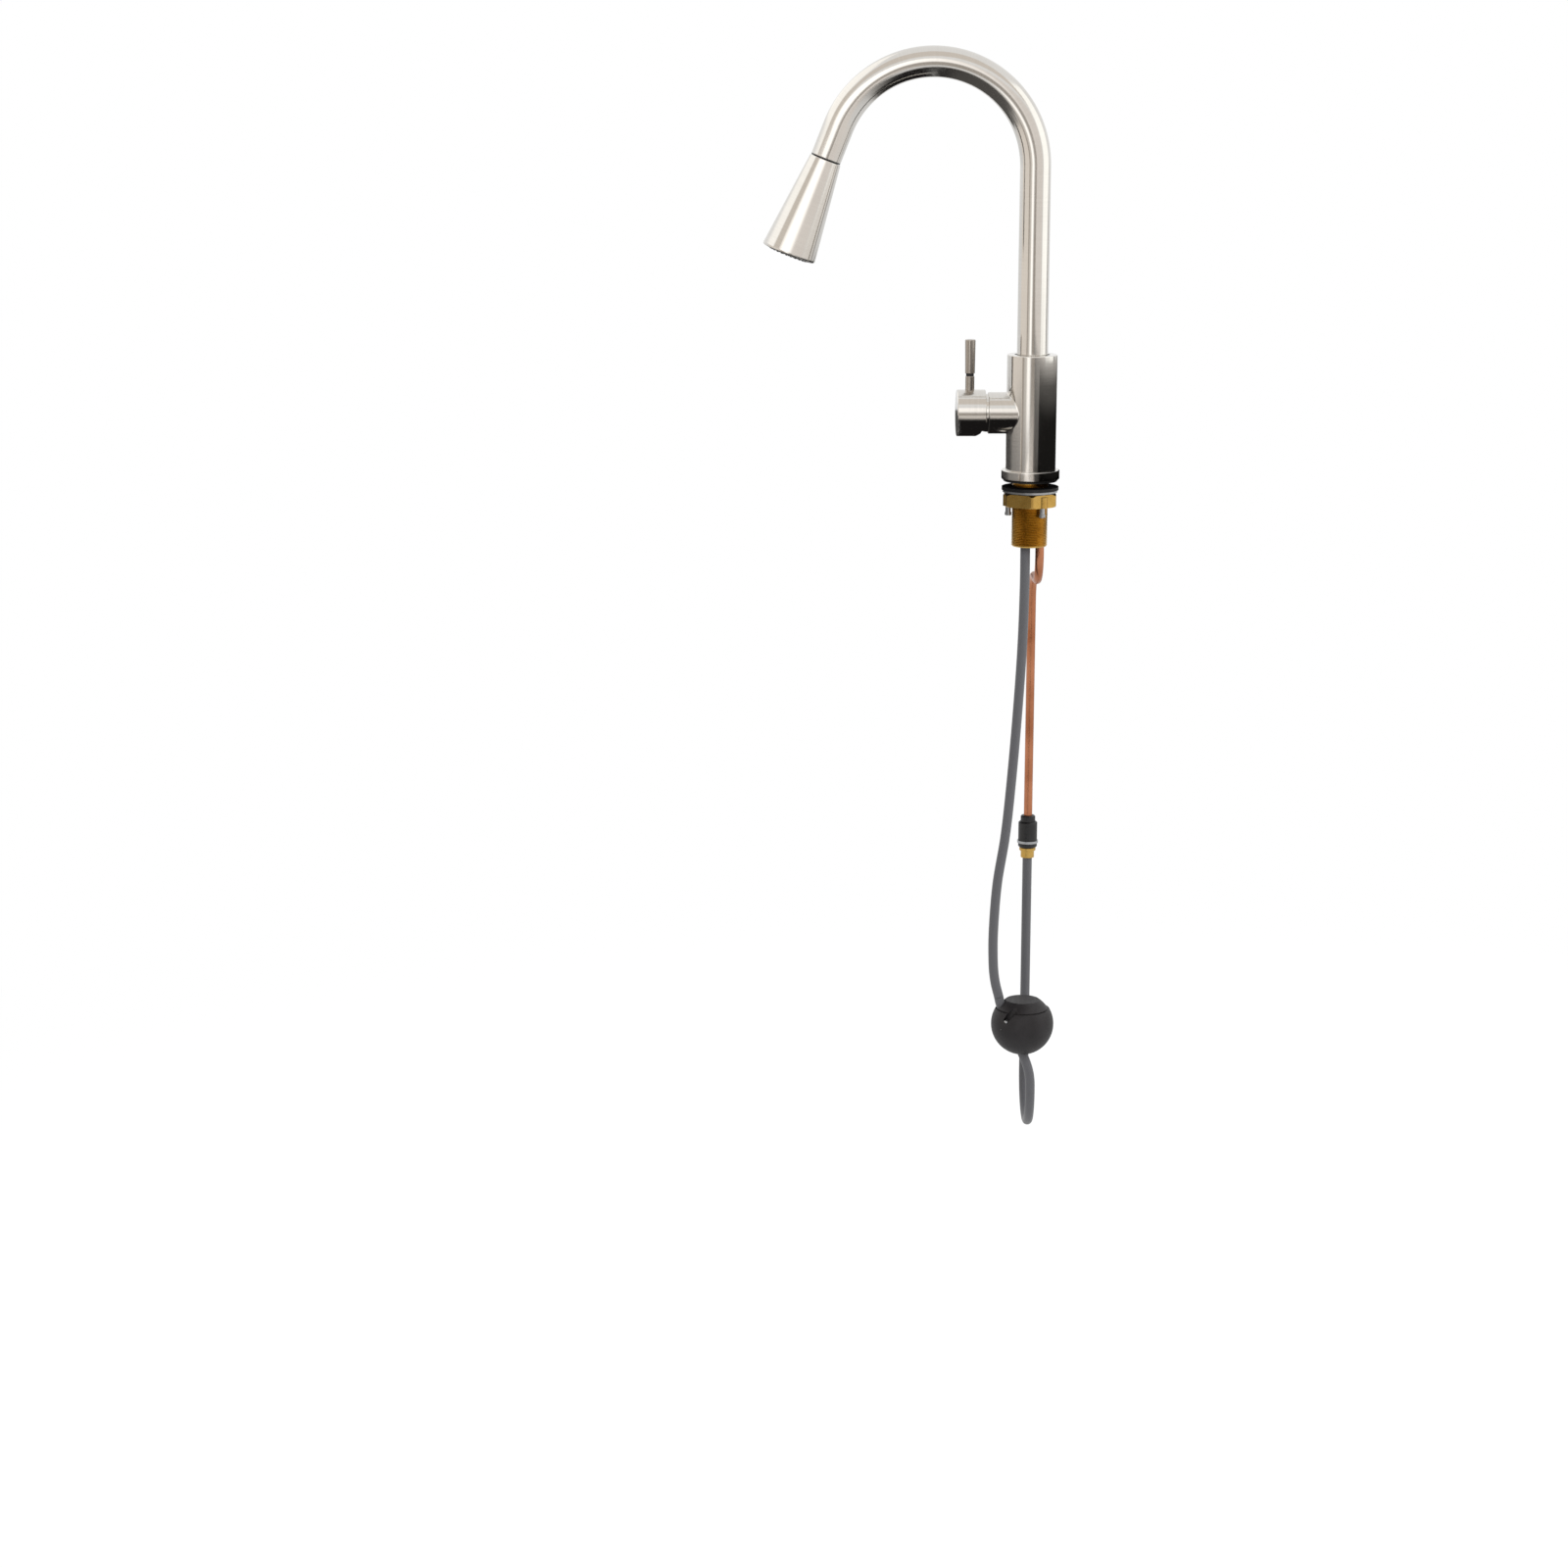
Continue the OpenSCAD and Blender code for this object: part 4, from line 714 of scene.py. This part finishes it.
FINISHES = {
    "dome_nut": BRUSHED_VALVE, "handle_hub": BRUSHED_VALVE,
    "waterway_core": CAST_BRASS, "mounting_nut": CAST_BRASS, "spout_pivot": CAST_BRASS,
    "swivel_nut": CAST_BRASS, "hose_plug": CAST_BRASS,
    "core_seals": BLACK_RUBBER, "deck_washer_rubber": BLACK_RUBBER, "port_seals": BLACK_RUBBER,
    "spout_seals": BLACK_RUBBER, "spray_washer": BLACK_RUBBER,
    "bush_upper": BLACK_ABS, "bush_lower": BLACK_ABS, "pipe_coupling": BLACK_ABS, "spray_core": BLACK_ABS,
    "spray_face": BLACK_ABS, "aerator": NOZZLE_SILICONE, "spray_nozzles": NOZZLE_SILICONE,
    "cartridge_housing": WHITE_ACETAL, "check_valve": WHITE_ACETAL,
    "cartridge_rotor": BLUE_ACETAL, "disc_driver": BLUE_ACETAL,
    "fixed_disc": CERAMIC, "moving_disc": CERAMIC,
    "deck_washer_steel": ZINC_STEEL, "jack_screws": ZINC_STEEL, "coupling_clip": ZINC_STEEL, "pivot_pin": ZINC_STEEL,
    "cartridge_stem": ZINC_STEEL, "grub_screw": ZINC_STEEL, "spout_circlip": ZINC_STEEL, "hose_ferrule": ZINC_STEEL,
    "weight_screws": ZINC_STEEL,
    "outlet_pipe": COPPER,
    "weight_body": BLACK_ENAMEL, "weight_cap": BLACK_ENAMEL,
}

for cad_name, finish in FINISHES.items():
    cad_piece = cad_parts[cad_name]
    cad_piece.data.materials.clear()
    cad_piece.data.materials.append(finish)
    for cad_face in cad_piece.data.polygons:
        cad_face.use_smooth = True
    cad_piece.data.set_sharp_from_angle(angle=math.radians(25))


# ---------------------------------------------------------------- studio

FLOOR_Z = -0.791  # where the sink's feet stand


def card_surface(material, tree, surface):
    """Gives a card's material its surface. The card isn't sampled as a lamp."""
    node(tree, "ShaderNodeOutputMaterial", {"Surface": surface})
    material.cycles.emission_sampling = "NONE"
    return material


def card_place(tree, axis):
    """Share of the way across a card on X, or up it on Y."""
    return node(tree, "ShaderNodeSeparateXYZ", {0: node(tree, "ShaderNodeTexCoord").outputs["UV"]}).outputs[axis]


def glow(level, fade=()):
    """Even light that only mirrors see, 1 being white. fade is the share of each side over which it dies away."""
    material, tree = shader_tree("studio_card")
    surface = emission(tree, (*level, 1))
    for axis, share in zip("XY", fade):
        off = maths(tree, "ABSOLUTE", maths(tree, "SUBTRACT", card_place(tree, axis), 0.5))
        kept = remap(tree, off, 0.5 - share, 0.5, 1.0, 0.0, "SMOOTHSTEP")
        surface = mix_shader(tree, kept, node(tree, "ShaderNodeBsdfTransparent").outputs[0], surface)
    return card_surface(material, tree, surface)


def graded(axis, *stops):
    """Light that only mirrors see, graded along the card's X or Y by stops of (share of the way, half the level)."""
    material, tree = shader_tree("studio_graded_card")
    colour = colour_ramp(tree, card_place(tree, axis), warm_greys(stops, 0.04), "EASE")
    return card_surface(material, tree, emission(tree, colour, 2.0))


def azimuth_ramp(tree, place, *stops):
    """Grey level by the direction from the origin, 0.5 being +X and 0.25 -Y."""
    turn = node(tree, "ShaderNodeTexGradient", {"Vector": place}, gradient_type="RADIAL").outputs["Fac"]
    return colour_ramp(tree, turn, warm_greys(stops, 0.03), "EASE")


def black_gloss():
    """Black polished sheet, dark when looked straight at and mirror bright along it, with painted shade round the
    foot and a painted shine patch on its +X side.
    """
    material, tree = shader_tree("studio_black_gloss")
    slant = node(tree, "ShaderNodeLayerWeight", {"Blend": 0.5}).outputs["Facing"]
    place = node(tree, "ShaderNodeNewGeometry").outputs["Position"]
    away = node(tree, "ShaderNodeVectorMath", {0: place}, operation="LENGTH").outputs["Value"]
    # Painted reflection: round the foot the sheet is painted dark but for a painted shine patch on its +X side;
    # farther out, painted shade towards +Y.
    foot_painted_tint = azimuth_ramp(
        tree, place, (0.0, 0.01), (0.15, 0.01), (0.26, 0.03), (0.35, 0.25), (0.45, 0.6), (0.475, 1.0), (0.515, 1.0),
        (0.54, 0.3), (0.585, 0.12), (0.665, 0.02), (1.0, 0.01),
    )
    outer_painted_tint = azimuth_ramp(
        tree, place, (0.0, 0.95), (0.51, 0.95), (0.565, 0.8), (0.60, 0.35), (0.64, 0.04), (0.88, 0.02), (1.0, 0.95),
    )
    painted_shine_and_shade = mix_colour(tree, remap(tree, away, 0.11, 0.16, kind="SMOOTHSTEP"), foot_painted_tint, outer_painted_tint)
    dark = emission(tree, (0.012, 0.011, 0.011, 1))
    mirror = node(tree, "ShaderNodeBsdfAnisotropic", {"Color": painted_shine_and_shade, "Roughness": 0.12}).outputs[0]
    share = remap(tree, slant, 0.45, 0.87, kind="SMOOTHSTEP")
    return card_surface(material, tree, mix_shader(tree, share, dark, mirror))


def card(name, corner, across, up, material):
    """Flat studio card that only mirrors see, from its corner and two sides."""
    c, a, b = (Vector(v) for v in (corner, across, up))
    mesh = bpy.data.meshes.new(name)
    mesh.from_pydata([c, c + a, c + a + b, c + b], [], [[0, 1, 2, 3]])
    mesh.uv_layers.new(name="card").data.foreach_set("uv", (0, 0, 1, 0, 1, 1, 0, 1))
    mesh.materials.append(material)
    made = bpy.data.objects.new(name, mesh)
    bpy.context.scene.collection.objects.link(made)
    made.visible_camera = made.visible_diffuse = made.visible_shadow = False
    made.visible_transmission = made.visible_volume_scatter = False


def ray(azimuth, elevation, far):
    """Point in a direction, azimuth from +X towards +Y, degrees and metres."""
    a, e = math.radians(azimuth), math.radians(elevation)
    return Vector((math.cos(a) * math.cos(e), math.sin(a) * math.cos(e), math.sin(e))) * far


def upright_card(name, from_az, to_az, low, high, far, soft_az, level):
    """Standing card between two azimuths with sides that fade over soft_az degrees, from height low to high."""
    soft_z = 0.08
    a, b = ray(from_az - soft_az, 0, far), ray(to_az + soft_az, 0, far)
    fade = (2 * soft_az / (to_az - from_az + 2 * soft_az), 2 * soft_z / (high - low + 2 * soft_z))
    card(name, (a.x, a.y, low - soft_z), b - a, (0, 0, high - low + 2 * soft_z), glow(level, fade))


def make_cards():
    """Grey, black and bright cards for the metal to mirror: a ring of them round it, and a black sink under it."""
    for name, from_az, to_az, low, high, far, soft_az, level in (
        ("left_low", -108, -45, -0.75, 0.75, 2.35, 4, (0.95, 0.88, 0.81)),
        ("left_lamp", -150, -78, 0.80, 3.2, 2.4, 12, (1.40, 1.38, 1.34)),
        ("left_strip", -51, -42, -0.75, 0.80, 2.15, 4, (0.44, 0.39, 0.34)),
        ("left_upper_strip", -77, -42, 0.80, 1.90, 2.2, 9, (0.80, 0.74, 0.67)),
        ("left_front", -48, -22, -0.75, 0.52, 2.25, 4, (0.78, 0.74, 0.69)),
        ("front_lamp", -28, -14, -0.60, 0.50, 2.15, 4, (1.62, 1.58, 1.54)),
        ("upper_lamp", -42, 1, 0.45, 1.15, 2.2, 15, (1.85, 1.80, 1.75)),
        ("front_strip", -10, 8, -0.75, 0.30, 2.5, 4, (0.42, 0.38, 0.34)),
        ("ceiling", -62, 62, 1.30, 6.00, 2.7, 4, (0.82, 0.76, 0.70)),
        ("right_front", 3, 52, -0.75, 1.25, 2.6, 4, (0.92, 0.87, 0.83)),
        ("right_lamp", 58, 106, -0.22, 2.20, 2.4, 5, (1.50, 1.50, 1.46)),
        ("right_low", 52, 106, -0.75, -0.12, 2.45, 4, (0.90, 0.86, 0.82)),
        ("right_strip", 110, 120, -0.75, 0.10, 2.4, 4, (0.45, 0.43, 0.41)),
    ):
        upright_card(name + "_card", from_az, to_az, low, high, far, soft_az, level)

    bowl, splash_across, splash_up = (-0.45, -0.56, -0.10), (0.60, 0, 0), (0, 0.005, 0.11)
    for name, corner, across, up, material in (
        ("basin", bowl, (1.05, 0, 0), (0, 0.495, 0), graded("Y", (0.0, 0.055), (0.80, 0.045), (0.98, 0.007))),
        ("basin_front", bowl, (0.88, 0, 0), (0, 0, 0.10),
         graded("X", (0.0, 0.02), (0.25, 0.05), (0.5, 0.15), (1.0, 0.20))),
        ("basin_end", (0.60, -0.56, -0.10), (0, 0.60, 0), (0, 0, 0.065), glow((0.50, 0.48, 0.46))),
        ("basin_back", bowl, (0, 0.50, 0), (0, 0, 0.112), glow((0.085, 0.082, 0.079))),
        ("ledge", (-0.45, -0.065, -0.004), (0.90, 0, 0), (0, 0.14, 0), black_gloss()),
        ("splash", (-0.45, 0.075, -0.006), splash_across, splash_up,
         graded("Y", (0.0, 0.006), (0.48, 0.007), (0.764, 0.05), (1.0, 0.25))),
        ("far_splash", (0.15, 0.075, -0.006), splash_across, splash_up,
         graded("Y", (0.0, 0.07), (0.338, 0.08), (1.0, 0.20))),
    ):
        card(name + "_card", corner, across, up, material)


def make_floor():
    """Pale floor, matt in ordinary light, even to mirrors, and whiter to the camera the farther from the object."""
    reach, middle = 14.0, (0, 0, FLOOR_Z)
    mesh = bpy.data.meshes.new("floor")
    corners = [(x * reach, y * reach, FLOOR_Z) for x, y in ((-1, -1), (1, -1), (1, 1), (-1, 1))]
    mesh.from_pydata(corners, [], [[0, 1, 2, 3]])
    material, tree = shader_tree("pale_floor")
    path = node(tree, "ShaderNodeLightPath")
    spot = node(tree, "ShaderNodeNewGeometry").outputs["Position"]
    away = node(tree, "ShaderNodeVectorMath", {0: spot, 1: middle}, operation="DISTANCE").outputs["Value"]
    plainer = remap(tree, away, 0.4, 1.6, 0.72, 1.0, "SMOOTHSTEP")
    seen = maths(tree, "MULTIPLY", path.outputs["Is Camera Ray"], plainer)
    seen = maths(tree, "MAXIMUM", seen, path.outputs["Is Glossy Ray"])
    shine = remap(tree, path.outputs["Is Glossy Ray"], 0.0, 1.0, 1.0, 0.85)
    matt = node(tree, "ShaderNodeBsdfDiffuse", {"Color": srgb("#FBFBFB")}).outputs[0]
    surface = mix_shader(tree, seen, matt, emission(tree, (1, 1, 1, 1), shine))
    node(tree, "ShaderNodeOutputMaterial", {"Surface": surface})
    mesh.materials.append(material)
    floor = bpy.data.objects.new("floor", mesh)
    bpy.context.scene.collection.objects.link(floor)


def make_surround():
    """White surround, full white to the camera and mirrors and dimmer as light on matt surfaces."""
    world = bpy.data.worlds.new("white_surround")
    bpy.context.scene.world = world
    world.use_nodes = True
    tree = world.node_tree
    tree.nodes.clear()
    path = node(tree, "ShaderNodeLightPath")
    shown = maths(tree, "MAXIMUM", path.outputs["Is Camera Ray"], path.outputs["Is Glossy Ray"])
    shown = maths(tree, "MAXIMUM", shown, path.outputs["Is Transmission Ray"])
    strength = remap(tree, shown, 0.0, 1.0, 0.72, 1.0)
    sky = node(tree, "ShaderNodeBackground", {"Color": (1, 1, 1, 1), "Strength": strength})
    node(tree, "ShaderNodeOutputWorld", {"Surface": sky.outputs[0]})


def make_lamps():
    """Two soft lamps for the matt pieces. Mirrors see the cards in their place."""
    aim = Vector((0, -0.05, 0.1))
    for name, azimuth, elevation, far, size, power in (
        ("softbox_front", -16, 27, 3.0, (0.95, 1.15), 62),
        ("softbox_right", 78, 30, 2.6, (1.4, 1.8), 60),
    ):
        lamp = bpy.data.lights.new(name, "AREA")
        lamp.shape, lamp.size, lamp.size_y, lamp.energy = "RECTANGLE", size[0], size[1], power
        made = bpy.data.objects.new(name, lamp)
        made.location = ray(azimuth, elevation, far) + Vector((0, 0, 0.1))
        made.rotation_euler = (aim - made.location).to_track_quat("-Z", "Y").to_euler()
        made.visible_glossy = False
        bpy.context.scene.collection.objects.link(made)


make_cards()
make_floor()
make_surround()
make_lamps()
bpy.context.scene.view_settings.view_transform = "Standard"
